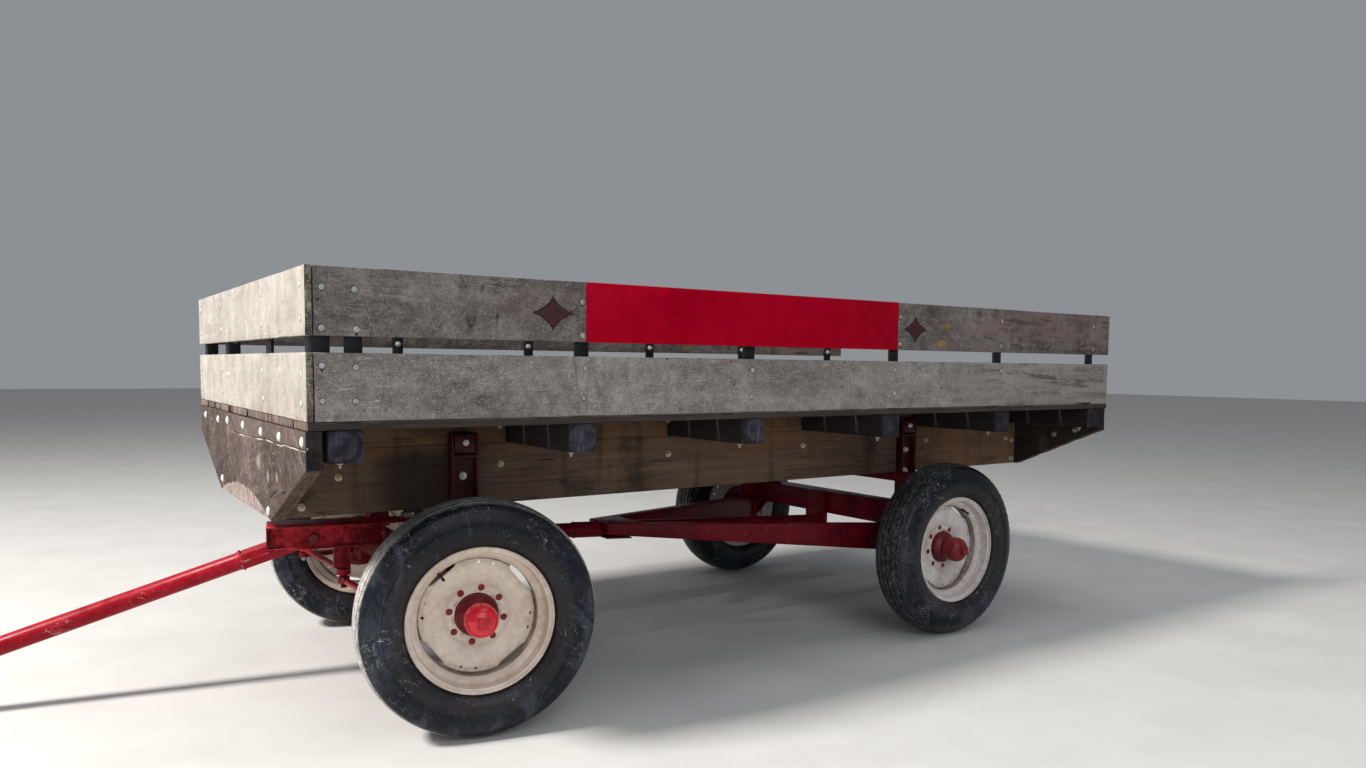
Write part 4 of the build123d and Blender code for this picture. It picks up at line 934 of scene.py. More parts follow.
def cream_mat(name, warm, cool):
    """Old cream enamel; warm and cool scale its red and its blue."""
    def lin(r, g, b):
        return tuple(c / 255 / 12.92 if c <= 10 else ((c / 255 + 0.055) / 1.055) ** 2.4 for c in (min(255, r * warm), g, min(255, b * cool)))

    m = Mat(name, 0.5, spec=0.35)
    rad, ax = m.attr("rad"), m.attr("ax")
    n1 = m.noise(6.0, 5, 0.6, 0.4)
    n2 = m.noise(45.0, 5, 0.65)
    col = m.ramp(m.math("ADD", m.math("MULTIPLY", n1, 0.6), m.math("MULTIPLY", n2, 0.4)),
                 [(0.36, lin(187, 165, 151)), (0.5, lin(210, 195, 183)), (0.66, lin(228, 218, 209))])
    # dust and rust gather where the disc meets the rim, and round the lug circle
    joint = m.step(m.math("ABSOLUTE", m.math("SUBTRACT", rad, 0.1755)), 0.0055, 0.0012)
    joint = m.math("MULTIPLY", joint, m.step(m.noise(20.0, 4, 0.7), 0.36, 0.58, 0.45, 1.0))
    col = m.mix(m.math("MULTIPLY", joint, 0.90), col, lin(56, 38, 30))
    well = m.math("MULTIPLY", m.step(m.math("ABSOLUTE", m.math("SUBTRACT", rad, 0.180)), 0.012, 0.004), 0.30)
    col = m.mix(m.math("MULTIPLY", well, m.step(n1, 0.35, 0.6)), col, lin(150, 118, 92))
    flange = m.math("MULTIPLY", m.step(rad, 0.2135, 0.2185), m.step(m.noise(28.0, 4, 0.7), 0.45, 0.62, 0.15, 0.9))
    col = m.mix(m.math("MULTIPLY", flange, 0.5), col, lin(124, 92, 66))
    lug = m.math("MULTIPLY", m.step(m.math("ABSOLUTE", m.math("SUBTRACT", rad, 0.094)), 0.010, 0.002, 0.0, 0.35), m.step(n2, 0.35, 0.6))
    col = m.mix(lug, col, lin(160, 140, 118))
    # chips and specks
    v = m.noise(55.0, 5, 0.72, 0.8)
    ch = m.math("MULTIPLY", m.step(v, 0.69, 0.72), m.step(n1, 0.5, 0.58))
    col = m.mix(ch, col, lin(84, 54, 38))
    sp = m.step(m.voronoi(75.0), 0.10, 0.05, 0.0, 0.6)
    sp = m.math("MULTIPLY", sp, m.step(m.noise(14.0, 3), 0.55, 0.62))
    col = m.mix(sp, col, lin(70, 52, 42))
    dirt = m.step(m.noise(3.0, 6, 0.7, 0.8), 0.54, 0.78, 0.0, 0.22)
    col = m.mix(dirt, col, lin(154, 130, 114))
    red = m.math("MULTIPLY", m.step(m.math("ABSOLUTE", m.math("SUBTRACT", rad, 0.070)), 0.008, 0.002), m.step(m.noise(30.0, 3), 0.50, 0.6, 0.0, 0.5))
    col = m.mix(red, col, lin(150, 70, 62))
    h = m.math("SUBTRACT", m.math("MULTIPLY", n2, 0.3), m.math("MULTIPLY", ch, 0.8))
    return m.out(col, m.step(n2, 0.35, 0.65, 0.42, 0.62), m.bump(h, 0.25, 0.001))


M["cream"] = cream_mat("wheel_cream_paint", 1.0, 0.98)
# rear wheels: the same cream, cooler and greyer as painted shade lit by the sky
M["cream_rear"] = cream_mat("wheel_cream_paint_grey", 0.97, 1.05)


def tyre_mat(name, dusty_sunlit):
    """Blue-black rubber: glossy sidewalls with small pale scuffs, worn ribs with dark grooves."""
    m = Mat(name, 0.5, spec=0.20)
    rad, ax = m.attr("rad"), m.attr("ax")
    n1 = m.noise(5.0, 6, 0.62, 0.6)
    n2 = m.noise(60.0, 5, 0.7)
    n3 = m.noise(240.0, 3, 0.6)
    col = m.ramp(m.math("ADD", m.math("MULTIPLY", n1, 0.55), m.math("MULTIPLY", n2, 0.45)),
                 [(0.38, lin(8, 10, 16)), (0.5, lin(20, 24, 34)), (0.62, lin(48, 52, 64))])
    # brown-grey zone next to the rim
    low_side = m.math("MULTIPLY", m.step(m.math("ADD", rad, m.math("MULTIPLY", m.math("SUBTRACT", n1, 0.5), 0.05)), 0.285, 0.262), 0.55)
    col = m.mix(low_side, col, lin(50, 45, 44))
    # worn, dusty tread faces, on the front tyres also painted sunlight; the grooves keep their dark rubber
    inside = m.step(m.math("ABSOLUTE", ax), 0.075, 0.066)
    top = m.math("MULTIPLY", m.step(m.math("ADD", rad, m.math("MULTIPLY", m.math("MULTIPLY", ax, ax), 2.05)), 0.3508, 0.3545), inside)
    # painted shade: the rubber darkened towards black from z 0.46 to 0.60 upwards, as under the bed's shadow
    painted_shade_top = m.step(m.xyz()[2], 0.46, 0.60)
    col = m.mix(m.math("MULTIPLY", painted_shade_top, 0.55), col, lin(7, 9, 14))
    patch = m.noise(1.0, 5, 0.65, 0.9, m.map((7.0, 7.0, 4.0), loc=(1.3, 0.4, 2.6)))
    col = m.mix(m.math("MULTIPLY", m.step(patch, 0.54, 0.66, 0.0, 0.5), m.step(rad, 0.25, 0.28)), col, lin(72, 76, 88))
    if dusty_sunlit:
        # front tyres: dust on the tread with painted sunlight, pale below z 0.50 and fading out by 0.66 where the bed's
        # shadow begins
        tt = m.ramp(m.math("ADD", m.math("MULTIPLY", n2, 0.6), m.math("MULTIPLY", n3, 0.4)), [(0.36, lin(92, 87, 84)), (0.5, lin(176, 171, 167)), (0.60, lin(220, 216, 211))])
        col = m.mix(m.math("MULTIPLY", m.math("MULTIPLY", top, m.step(m.xyz()[2], 0.66, 0.50, 0.25, 1.0)), m.step(n1, 0.30, 0.56, 0.55, 1.0)), col, tt)
    else:
        tt = m.ramp(m.math("ADD", m.math("MULTIPLY", n2, 0.6), m.math("MULTIPLY", n3, 0.4)), [(0.38, lin(24, 24, 27)), (0.5, lin(48, 46, 47)), (0.62, lin(112, 108, 104))])
        col = m.mix(m.math("MULTIPLY", top, m.step(n1, 0.30, 0.62, 0.40, 0.90)), col, tt)
    # dust on the shoulder, scuffs and short scratches on the sidewall
    sh = m.math("MULTIPLY", m.step(m.math("ABSOLUTE", m.math("SUBTRACT", rad, 0.330)), 0.016, 0.004), m.step(n1, 0.48, 0.68, 0.0, 0.30))
    col = m.mix(sh, col, lin(84, 82, 84))
    for turn, sc2, seed in ((0.0, (16, 16, 16), 0.0), (1.0, (9, 26, 14), 6.0), (2.0, (30, 30, 12), 12.0)):
        scuff = m.noise(1.0, 3, 0.65, 1.6, m.map(sc2, loc=(turn, 0.2, 0.5)))
        sc = m.math("MULTIPLY", m.step(m.math("ABSOLUTE", m.math("SUBTRACT", scuff, 0.5)), 0.0050, 0.001), m.step(m.noise(5.5, 3, w=seed), 0.54, 0.60, 0.0, 0.9))
        sc = m.math("MULTIPLY", sc, m.step(n2, 0.42, 0.54))
        col = m.mix(sc, col, lin(188, 188, 192))
    sp = m.math("MULTIPLY", m.step(m.voronoi(70.0), 0.13, 0.06), m.step(m.noise(12.0, 4), 0.57, 0.64, 0.0, 0.55))
    col = m.mix(sp, col, lin(150, 149, 150))
    streak = m.math("MULTIPLY", m.step(m.noise(1.0, 4, 0.7, 0.4, m.map((45, 45, 45), loc=(2, 5, 1))), 0.62, 0.70), m.step(m.noise(3.5, 3, w=4.0), 0.52, 0.62, 0.0, 0.6))
    col = m.mix(streak, col, lin(110, 110, 116))
    bead_ring = m.step(m.math("ABSOLUTE", m.math("SUBTRACT", rad, 0.2245)), 0.004, 0.001, 0.0, 0.6)
    col = m.mix(bead_ring, col, lin(8, 7, 8))
    brown = m.step(m.noise(2.4, 5, 0.6, 0.5, m.map(loc=(4, 2, 7))), 0.56, 0.76, 0.0, 0.24)
    low = m.step(m.xyz()[2], 0.08, 0.0, 0.0, 0.40)
    col = m.mix(m.math("MAXIMUM", m.math("MULTIPLY", brown, 0.8), m.math("MULTIPLY", low, m.step(n1, 0.3, 0.6))), col, lin(84, 76, 70))
    h = m.math("ADD", m.math("MULTIPLY", n2, 0.4), m.math("MULTIPLY", n3, 0.25))
    h = m.math("SUBTRACT", h, m.math("MULTIPLY", sc, 0.6))
    return m.out(col, m.step(n1, 0.35, 0.7, 0.30, 0.52), m.bump(h, 0.30, 0.0016))


M["tyre_front"] = tyre_mat("tyre_rubber_dusty_sunlit", True)
M["tyre_rear"] = tyre_mat("tyre_rubber", False)
M["valve"] = paint("valve_black", lin(16, 16, 17), lin(8, 8, 9), lin(34, 34, 36), wear=0.1, rough=0.5, fade_and_top_light=0.1, dust=0.2, edge=0, orange=0.0)


def ornament(name, base, other, rough=0.5):
    m = Mat(name, rough, spec=0.4)
    n = m.noise(60.0, 5, 0.65)
    c = m.ramp(n, [(0.35, other), (0.6, base)])
    c = m.mix(m.step(m.noise(200.0, 2), 0.62, 0.70, 0.0, 0.5), c, tuple(min(1, v * 2.5 + 0.02) for v in base))
    return m.out(c, None, m.bump(n, 0.2, 0.0006))


M["orn_black"] = ornament("ornament_outline", lin(26, 9, 13), lin(17, 6, 9))
M["orn_fill"] = ornament("ornament_fill", lin(60, 11, 20), lin(44, 8, 15))
M["orn_line"] = ornament("ornament_line", lin(112, 34, 44), lin(86, 24, 32))

# ------------------------------------------------------------------ deck
PLANKS = [(152, 7), (168, 6), (140, 8), (158, 5), (146, 7), (162, 6), (149, 8), (138, 6), (164, 7), (143, 6), (170, 0)]
CROSS = [0.100, 0.789, 1.437, 2.098, 2.752, 3.402]
total = sum(w + g for w, g in PLANKS)
g = Geo()
y = W2
plank_mid = []
for i, (width, gap) in enumerate(PLANKS):
    w = width * BED_W / total
    mid = y - w / 2
    plank_mid.append((mid, w))
    timber(g, (X(BED_L / 2), mid, DECK_BOT + DECK_T / 2), (BED_L - 0.0015, w - 0.0012, DECK_T - 0.0006), 0, 0, 1, corner=0.0035, wave=0.0014, chip=0.004,
           step=0.045, tone=0.11 + i * 0.173, ends=(rng.uniform(0, 0.004), rng.uniform(0, 0.005)), seed=i + 1)
    y -= (width + gap) * BED_W / total
# screws down the planks over each cross sill
for b in CROSS:
    for mid, w in plank_mid:
        for k in (-1, 1):
            at = Vector((X(b) + rng.uniform(-0.012, 0.012), mid + k * w * 0.31 + rng.uniform(-0.008, 0.008), DECK_TOP - 0.0012))
            lathe(g, [(-0.002, 0.0048), (0.0005, 0.0048), (0.0009, 0.0040), (0.0002, 0.0015), (0.0002, 0)], at, UP, 10, 2)
g.make("deck_boards", [M["deck"], M["deck_end"], M["dull"]], replaces=["deck_planks"])

# ------------------------------------------------------------------ side and end boards
PROUD = 0.0025  # the boards' outer faces stand this far inside the deck's edge


def side_board(g, b0, b1, z0, z1, side, mat, edge_mat, tone, seed, inset=PROUD):
    t = BOARD_T - inset
    half = (z1 - z0) / 2
    mid = X((b0 + b1) / 2)

    def lifted(p):
        """The lower board's bottom edge stands off the deck by a few millimetres towards the rear."""
        if z0 < 1.0 and p[2] < 0:
            k = max(0.0, min(1.0, (X0 - (mid + p[0]) - 2.55) / 0.75))
            p[2] += 0.0042 * k * k * (3 - 2 * k) * (-p[2] / half)
        return p

    timber(g, (mid, side * (W2 - BOARD_T + t / 2), (z0 + z1) / 2), (b1 - b0, t, z1 - z0 - 0.0008), 0, mat, edge_mat, corner=0.0018, wave=0.0009,
           chip=0.0035, step=0.035, tone=tone, seed=seed, across=0.022, taper=lifted)


BOLT_Z = [1.287, 1.186, 1.090, 1.003]
POSTS_B = [0.126, 0.792, 1.426, 2.117, 2.725, 3.371]
for label, z0, z1, name, tone in (("lower", LOW0, LOW1, "side_low", 0.3), ("upper", UP0, UP1, "side_up", 0.55)):
    g = Geo()
    for side in (1, -1):
        side_board(g, BOARD_T + 0.002, BED_L - PROUD - 0.0005, z0, z1, side, 0, 1, tone + side * 0.13, 20 + side + (10 if label == "upper" else 0))
    g.make(f"side_boards_{label}", [M[name], M["edge"]], replaces=[f"side_{label}_boards"])

g = Geo()
RED_T = 0.0016
for side in (1, -1):
    block(g, (X((RED_B0 + RED_B1) / 2), side * (W2 - PROUD + RED_T / 2 - 0.0004), (UP0 + UP1) / 2), (RED_B1 - RED_B0, RED_T + 0.0008, BOARD_H - 0.0004), 0.0006, 0)
    for b in (1.426, 2.104):
        for z in BOLT_Z[:2]:
            lathe(g, [(-0.001, 0.0095), (0.0002, 0.0095), (0.0006, 0.0065), (0.0007, 0)], (X(b), side * (W2 - PROUD + RED_T), z + 0.004), (0, side, 0), 20, 0)
g.make("red_side_panels", [M["red_board"]], replaces=["side_red_panels"])

for label, z0, z1 in (("lower", LOW0, LOW1), ("upper", UP0, UP1)):
    g = Geo()
    t = BOARD_T - PROUD
    timber(g, (X(BOARD_T / 2) - PROUD / 2, 0, (z0 + z1) / 2), (t, BED_W - 0.001, z1 - z0 - 0.0008), 1, 0, 1, corner=0.0018, wave=0.0009, chip=0.0035, step=0.035,
           tone=0.17 + (0.23 if label == "upper" else 0), seed=40 + (7 if label == "upper" else 0), across=0.022)
    g.make(f"front_board_{label}", [M["front"], M["front_edge"]], replaces=[f"front_{label}_board"])

# ------------------------------------------------------------------ board bolts, outside heads and inside nuts
g = Geo()
inside = Geo()


def jit(a=0.003):
    return rng.uniform(-a, a)


def stain(geo, at, nrm, r, drip, seed, mat=0):
    """Thin dark mark round a bolt head, run out downwards."""
    at, nrm = Vector(at), Vector(nrm)
    u = nrm.cross(UP).normalized()
    verts = [at + nrm * 0.00025]
    n = 22
    for i in range(n):
        a = 2 * math.pi * i / n
        rr = r * (1.0 + 0.16 * noise.noise(Vector((math.cos(a) * 1.7, math.sin(a) * 1.7, seed * 3.1))))
        dz = math.sin(a) * rr
        if dz < 0:
            k = max(0.0, 1 - abs(math.cos(a)) * 1.9)
            dz -= drip * k * k
        verts.append(at + nrm * 0.00012 + u * math.cos(a) * rr + UP * dz)
    geo.add(verts, [(0, 1 + i, 1 + (i + 1) % n) for i in range(n)], mat, False)


stains = Geo()
for side in (1, -1):
    face = side * (W2 - PROUD)
    inner = side * (W2 - BOARD_T - 0.009)
    cols = [(0.045, 0), (0.127, 1), (0.792, 2), (1.425, 3), (2.106, 4), (2.726, 5), (3.365, 6)]
    for b, k in cols:
        for z in BOLT_Z:
            zz = z + (0.006 if b > 2 else 0.0) * (1 if z > 1.15 else 0.6)
            at = Vector((X(b) + jit(), face + side * 0.0001, zz + jit()))
            hidden = RED_B0 - 0.008 < b < RED_B1 - 0.02 and zz > UP0
            if k == 2 and zz > UP0:
                at.x = X(0.785)
                hidden = False
            if k == 4 and zz > UP0:
                at.x = X(2.129)
            if not hidden:
                r = rng.uniform(0.0074, 0.0086)
                dome_head(g, at, (0, side, 0), r, 0.0020, 0, tone=rng.random())
                stain(stains, at, (0, side, 0), r * rng.uniform(1.10, 1.22), rng.choice((0, 0, 0.002, 0.004, 0.012)), rng.random() * 9, 0)
            if k > 0:
                hex_head(inside, (X(POSTS_B[k - 1]) + jit(), inner - side * 0.0005, zz + jit()), (0, -side, 0), 0.019, 0.008, 0.012, 0, rng.uniform(0, 60), 0.009)
            else:
                hex_head(inside, (X(0.047) + jit(0.001), side * (W2 - BOARD_T - 0.0085), zz + jit()), (0, -side, 0), 0.019, 0.008, 0.0, 0, rng.uniform(0, 60), 0.009)
END_Y = [0.350, 0.826]
# front board bolts: heads and stains in the pale materials, painted lighter than the same bolts on the sides as if
# sunlit
for y in (-END_Y[1], -END_Y[0], END_Y[0], END_Y[1]):
    for z in (1.298, 1.212, 1.075, 0.995):
        at = Vector((X(0) - PROUD, y + jit(), z + jit()))
        r = rng.uniform(0.0076, 0.0086)
        dome_head(g, at, (1, 0, 0), r, 0.0020, 1, tone=rng.random())
        stain(stains, at, (1, 0, 0), r * rng.uniform(1.1, 1.22), rng.choice((0, 0.003, 0.012)), rng.random() * 9, 1)
        hex_head(inside, (X(BOARD_T + 0.0085), y + jit(), z + jit()), (-1, 0, 0), 0.019, 0.008, 0.012, 0, rng.uniform(0, 60), 0.009)
g.make("board_bolt_heads", [M["zinc"], M["zinc_pale"]])
inside.make("board_bolt_nuts", [M["zinc"]])
stains.make("board_bolt_stains", [M["stain"], M["stain_pale"]])

# ------------------------------------------------------------------ posts
POST_TOP = UP1 - 0.008
POST_W, POST_T = 0.046, 0.009
g = Geo()


def foot(g, x, y, ax, away):
    """Small cleat on the deck against a flat post: plate, two screws and a weld."""
    n = Vector(away)
    t = Vector((abs(n.y), abs(n.x), 0))
    c = Vector((x, y, 0)) + n * 0.021
    block(g, (c.x, c.y, DECK_TOP + 0.0025), tuple(abs(n[i]) * 0.040 + t[i] * ax for i in (0, 1)) + (0.005,), 0.0010, 0)
    for k in (-1, 1):
        hex_head(g, c + t * k * ax * 0.28 + UP * (DECK_TOP + 0.005) + n * 0.006, UP, 0.013, 0.0055, 0.0, 1, rng.uniform(0, 60))
    e = Vector((x, y, DECK_TOP + 0.0055)) + n * 0.001
    bead(g, e - t * ax * 0.42, e + t * ax * 0.42, 0.0028, 0, x)


for b in POSTS_B:
    for side in (1, -1):
        yc = side * (W2 - BOARD_T - POST_T / 2)
        block(g, (X(b), yc, (DECK_TOP + POST_TOP) / 2), (POST_W, POST_T, POST_TOP - DECK_TOP), 0.0012, 0, segments=2)
        foot(g, X(b), yc - side * POST_T / 2, 0.062, (0, -side, 0))
g.make("side_post_bars", [M["black"], M["zinc"]], replaces=["side_posts"])
g = Geo()
inner = X(BOARD_T)
for side in (1, -1):
    block(g, (inner - 0.004, side * END_Y[0], (DECK_TOP + POST_TOP) / 2), (0.008, 0.074, POST_TOP - DECK_TOP), 0.0012, 0)
    foot(g, inner - 0.008, side * END_Y[0], 0.088, (-1, 0, 0))
    y = W2 - BOARD_T
    prism(g, [(0, 0), (0.047, 0), (0.047, 0.008), (0.012, 0.008), (0.008, 0.012), (0.008, 0.063), (0, 0.063)], (inner, side * y, DECK_TOP), (-1, 0, 0), (0, -side, 0),
          (POST_TOP - DECK_TOP) * side, 0.0012, 0)
    bead(g, (inner - 0.010, side * (y - 0.009), DECK_TOP + 0.001), (inner - 0.045, side * (y - 0.009), DECK_TOP + 0.001), 0.0028, 0, y)
g.make("front_post_irons", [M["black"], M["zinc"]], replaces=["front_posts"])

# ------------------------------------------------------------------ ornaments: concave-sided diamonds with a fine inner line
def diamond_outline(hx, hz, bow, n=9):
    """Corner to corner with sides that bow inwards."""
    pts = []
    corners = [(hx, 0), (0, hz), (-hx, 0), (0, -hz)]
    for (x0, z0), (x1, z1) in zip(corners, corners[1:] + corners[:1]):
        mx, mz = (x0 + x1) / 2 * (1 - bow), (z0 + z1) / 2 * (1 - bow)
        for i in range(n):
            t = i / n
            pts.append(((1 - t) ** 2 * x0 + 2 * t * (1 - t) * mx + t * t * x1, (1 - t) ** 2 * z0 + 2 * t * (1 - t) * mz + t * t * z1))
    return pts


def flat_fill(geo, pts, at, side, lift, mat):
    verts = [Vector((at[0], at[1] + side * lift, at[2]))]
    verts += [Vector((at[0] + px, at[1] + side * lift, at[2] + pz)) for px, pz in pts]
    n = len(pts)
    geo.add(verts, [(0, 1 + i, 1 + (i + 1) % n) for i in range(n)], mat, False)


def flat_band(geo, outer, inner, at, side, lift, mat, base=None):
    n = len(outer)
    vo = [Vector((at[0] + px, at[1] + side * lift, at[2] + pz)) for px, pz in outer]
    vi = [Vector((at[0] + px, at[1] + side * lift, at[2] + pz)) for px, pz in inner]
    faces = [(i, (i + 1) % n, n + (i + 1) % n, n + i) for i in range(n)]
    verts = vo + vi
    if base is not None:
        vb = [Vector((at[0] + px, at[1] + side * base, at[2] + pz)) for px, pz in outer]
        verts += vb
        faces += [(2 * n + i, 2 * n + (i + 1) % n, (i + 1) % n, i) for i in range(n)]
    geo.add(verts, faces, mat, False)


g = Geo()
for side in (1, -1):
    for b, z, k in ((0.6885, 1.2485, 1.0), (2.2115, 1.246, 0.98)):
        at = (X(b), side * (W2 - PROUD), z)
        o0 = diamond_outline(0.0665 * k, 0.0495 * k, 0.42)
        o1 = diamond_outline(0.0560 * k, 0.0410 * k, 0.42)
        o2 = diamond_outline(0.0470 * k, 0.0340 * k, 0.42)
        o3 = diamond_outline(0.0450 * k, 0.0325 * k, 0.42)
        flat_band(g, o0, o1, at, side, 0.0007, 0, -0.0004)
        flat_band(g, o1, o2, at, side, 0.0007, 1)
        flat_band(g, o2, o3, at, side, 0.0008, 2)
        flat_fill(g, o3, at, side, 0.0007, 1)
g.make("side_ornaments", [M["orn_black"], M["orn_fill"], M["orn_line"]])

# ------------------------------------------------------------------ sills, blocks and end panels
g = Geo()
for i, b in enumerate(CROSS):
    base = len(g.v)
    timber(g, (X(b), 0, SILL_BOT + SILL_H / 2), (SILL_W, BED_W - 0.010, SILL_H - 0.0006), 1, 0, 1, corner=0.0022, wave=0.0014, chip=0.004, step=0.05, tone=0.21 + i * 0.139,
           seed=60 + i, ends=(rng.uniform(0, 0.004), rng.uniform(0, 0.004)))
    g.ax[base:] = [p[0] - X(b) + 0.013 * (i % 3 - 1) for p in g.v[base:]]
g.make("cross_sill_timbers", [M["sill_y"], M["sill_end"]], replaces=["cross_sills"])
g = Geo()
for side in (1, -1):
    timber(g, (X(BED_L / 2), side * (MAIN_Y0 + MAIN_Y1) / 2, (MAIN_BOT + SILL_BOT) / 2), (BED_L - 2 * END_T - 0.002, MAIN_Y1 - MAIN_Y0, SILL_BOT - MAIN_BOT), 0, 0, 0,
           corner=0.0012, wave=0.0010, chip=0.0012, step=0.045, tone=0.43 + side * 0.11, seed=70 + side, across=0.02)
g.make("main_sill_timbers", [M["sill"]], replaces=["main_sills"])
g = Geo()
for i, (b0, b1) in enumerate(zip(CROSS, CROSS[1:])):
    for side in (1, -1):
        timber(g, (X((b0 + b1) / 2), side * (MAIN_Y0 + MAIN_Y1) / 2, (SILL_BOT + DECK_BOT) / 2), (b1 - b0 - SILL_W - 0.001, MAIN_Y1 - MAIN_Y0 - 0.0006, SILL_H), 0, 0, 0,
               corner=0.0010, wave=0.0008, chip=0.0010, step=0.05, tone=0.43 + side * 0.11, seed=80 + i * 2 + side)
g.make("sill_packing_blocks", [M["sill"]], replaces=["sill_blocks"])

g = Geo()
for k, b in enumerate((0.0, BED_L - END_T)):
    corners = [(W2 - 0.008, DECK_BOT - 0.0004), (W2 - 0.008, 0.826), (0.432, MAIN_BOT), (-0.432, MAIN_BOT), (-(W2 - 0.008), 0.826), (-(W2 - 0.008), DECK_BOT - 0.0004)]
    pts = []
    for (y0, z0), (y1, z1) in zip(corners, corners[1:] + corners[:1]):
        n = max(2, int(math.hypot(y1 - y0, z1 - z0) / 0.03))
        for i in range(n):
            t = i / n
            yy, zz = y0 + (y1 - y0) * t, z0 + (z1 - z0) * t
            if abs(z0 - z1) > 1e-6 or z0 < 0.7:
                q = noise.noise(Vector((yy * 14 + k * 9, zz * 14, 2.0)))
                d = 0.0022 * (0.5 + 0.5 * q) + max(0.0, noise.noise(Vector((yy * 31, zz * 31, 5 + k))) - 0.25) * 0.010
                d = 0 if i == 0 else d
                yy -= math.copysign(d * 0.7, yy)
                zz += d * 0.7 if zz < 0.9 else 0
            pts.append((yy, zz))
    bm = bmesh.new()
    x0 = X(b) - 0.0012
    x1 = X(b) - END_T + 0.0012
    n = len(pts)
    cy, cz = 0.0, 0.80
    loops = []
    for xx, inset in ((x0, 0.0030), (x0 - 0.0026, 0.0), (x1 + 0.0026, 0.0), (x1, 0.0030)):
        loop = []
        for yy, zz in pts:
            v = Vector((yy - cy, zz - cz))
            f = 1 - inset / max(v.length, 0.05)
            loop.append(bm.verts.new((xx, cy + v.x * f, cz + v.y * f)))
        loops.append(loop)
    for p, q in zip(loops, loops[1:]):
        for i in range(n):
            bm.faces.new((p[i], p[(i + 1) % n], q[(i + 1) % n], q[i]))
    bm.faces.new(loops[0])
    bm.faces.new(list(reversed(loops[-1])))
    bm.verts.index_update()
    verts = [v.co.copy() for v in bm.verts]
    faces = [[v.index for v in f.verts] for f in bm.faces]
    inner_x = x1 if k == 0 else x0
    fm = [1 if len(f) == 4 else (2 if abs(verts[f[0]].x - inner_x) < 1e-5 else 0) for f in faces]
    bm.free()
    g.add(verts, faces, fm, True, 0.3 + k * 0.4)
# splinter standing off the torn line at the near edge
g.add([(X(0) - 0.0030, 0.862, 0.8850), (X(0) - 0.0030, 0.862, 0.8890), (X(0) - 0.0075, 0.862, 0.8872), (X(0) + 0.0 - 0.0045, 0.8768, 0.8792)],
      [(0, 1, 2), (0, 3, 1), (1, 3, 2), (2, 3, 0)], 3, False)
g.make("end_panel_sheets", [M["end_panel"], M["ply_edge"], M["panel_back"], M["splinter"]], replaces=["end_panels"], angle=28)

# bolts through the end panels and the sills
g = Geo()
ROW_Y = [(-0.746, 0.893), (-0.457, 0.890), (-0.261, 0.896), (0.026, 0.896), (0.314, 0.892), (0.564, 0.893), (0.832, 0.897)]
for k, xf in ((1, X(0) - 0.0012), (-1, X(BED_L) + 0.0012)):
    # domed heads in front, flush countersunk ones behind
    head = [(-0.001, 0.0138), (0.001, 0.0138), (0.0035, 0.0112), (0.0055, 0.0068), (0.0062, 0)] if k > 0 else [(-0.001, 0.0138), (0.0002, 0.0138), (0.0008, 0.0100), (0.0002, 0.0040), (0.0002, 0)]
    for y, z in ROW_Y:
        lathe(g, head, (xf, y * k, z), (k, 0, 0), 22, 0, tone=rng.random())
    for y, z in ((0.400, 0.664), (-0.390, 0.680), (0.36, 0.79), (-0.36, 0.80)):
        if z < 0.7 or k < 0:
            lathe(g, head, (xf, y * k, z), (k, 0, 0), 22, 0, tone=rng.random())
for y, z in ((0.445, 0.886), (0.734, 0.887), (0.748, 0.820), (0.640, 0.795)):
    for s in (1, -1):
        hex_head(g, (X(BED_L - END_T) - 0.0008, s * y, z), (1, 0, 0), 0.018, 0.008, 0.013, 1, rng.uniform(0, 60), 0.006)
SILL_BOLTS = [(0.197, 0.753), (0.088, 0.670), (0.724, 0.771), (0.721, 0.895), (1.392, 0.770), (1.391, 0.897), (2.060, 0.781), (2.059, 0.899),
              (2.800, 0.775), (2.930, 0.900), (3.376, 0.764), (3.420, 0.752), (3.425, 0.661)]
for b, z in SILL_BOLTS:
    for side in (1, -1):
        hex_head(g, (X(b) + jit(), side * (MAIN_Y1 - 0.0012 - (0.002 if z > 0.84 else 0)), z + jit()), (0, side, 0), 0.0150, 0.008, 0.0116, 2, rng.uniform(0, 60), 0.006, tone=rng.random())
        hex_head(g, (X(b) + jit(), side * (MAIN_Y0 + 0.0012 + (0.002 if z > 0.84 else 0)), z + jit()), (0, -side, 0), 0.017, 0.008, 0.0135, 1, rng.uniform(0, 60), 0.0, tone=rng.random())
# bolt ends under the cross sills
for b in CROSS:
    for side in (1, -1):
        hex_head(g, (X(b) + jit(), side * 0.800, SILL_BOT + 0.001), (0, 0, -1), 0.016, 0.007, 0.012, 1, rng.uniform(0, 60), 0.010)
g.make("timber_bolts", [M["zinc_pale"], M["dull"], M["bolt_ivory"]])

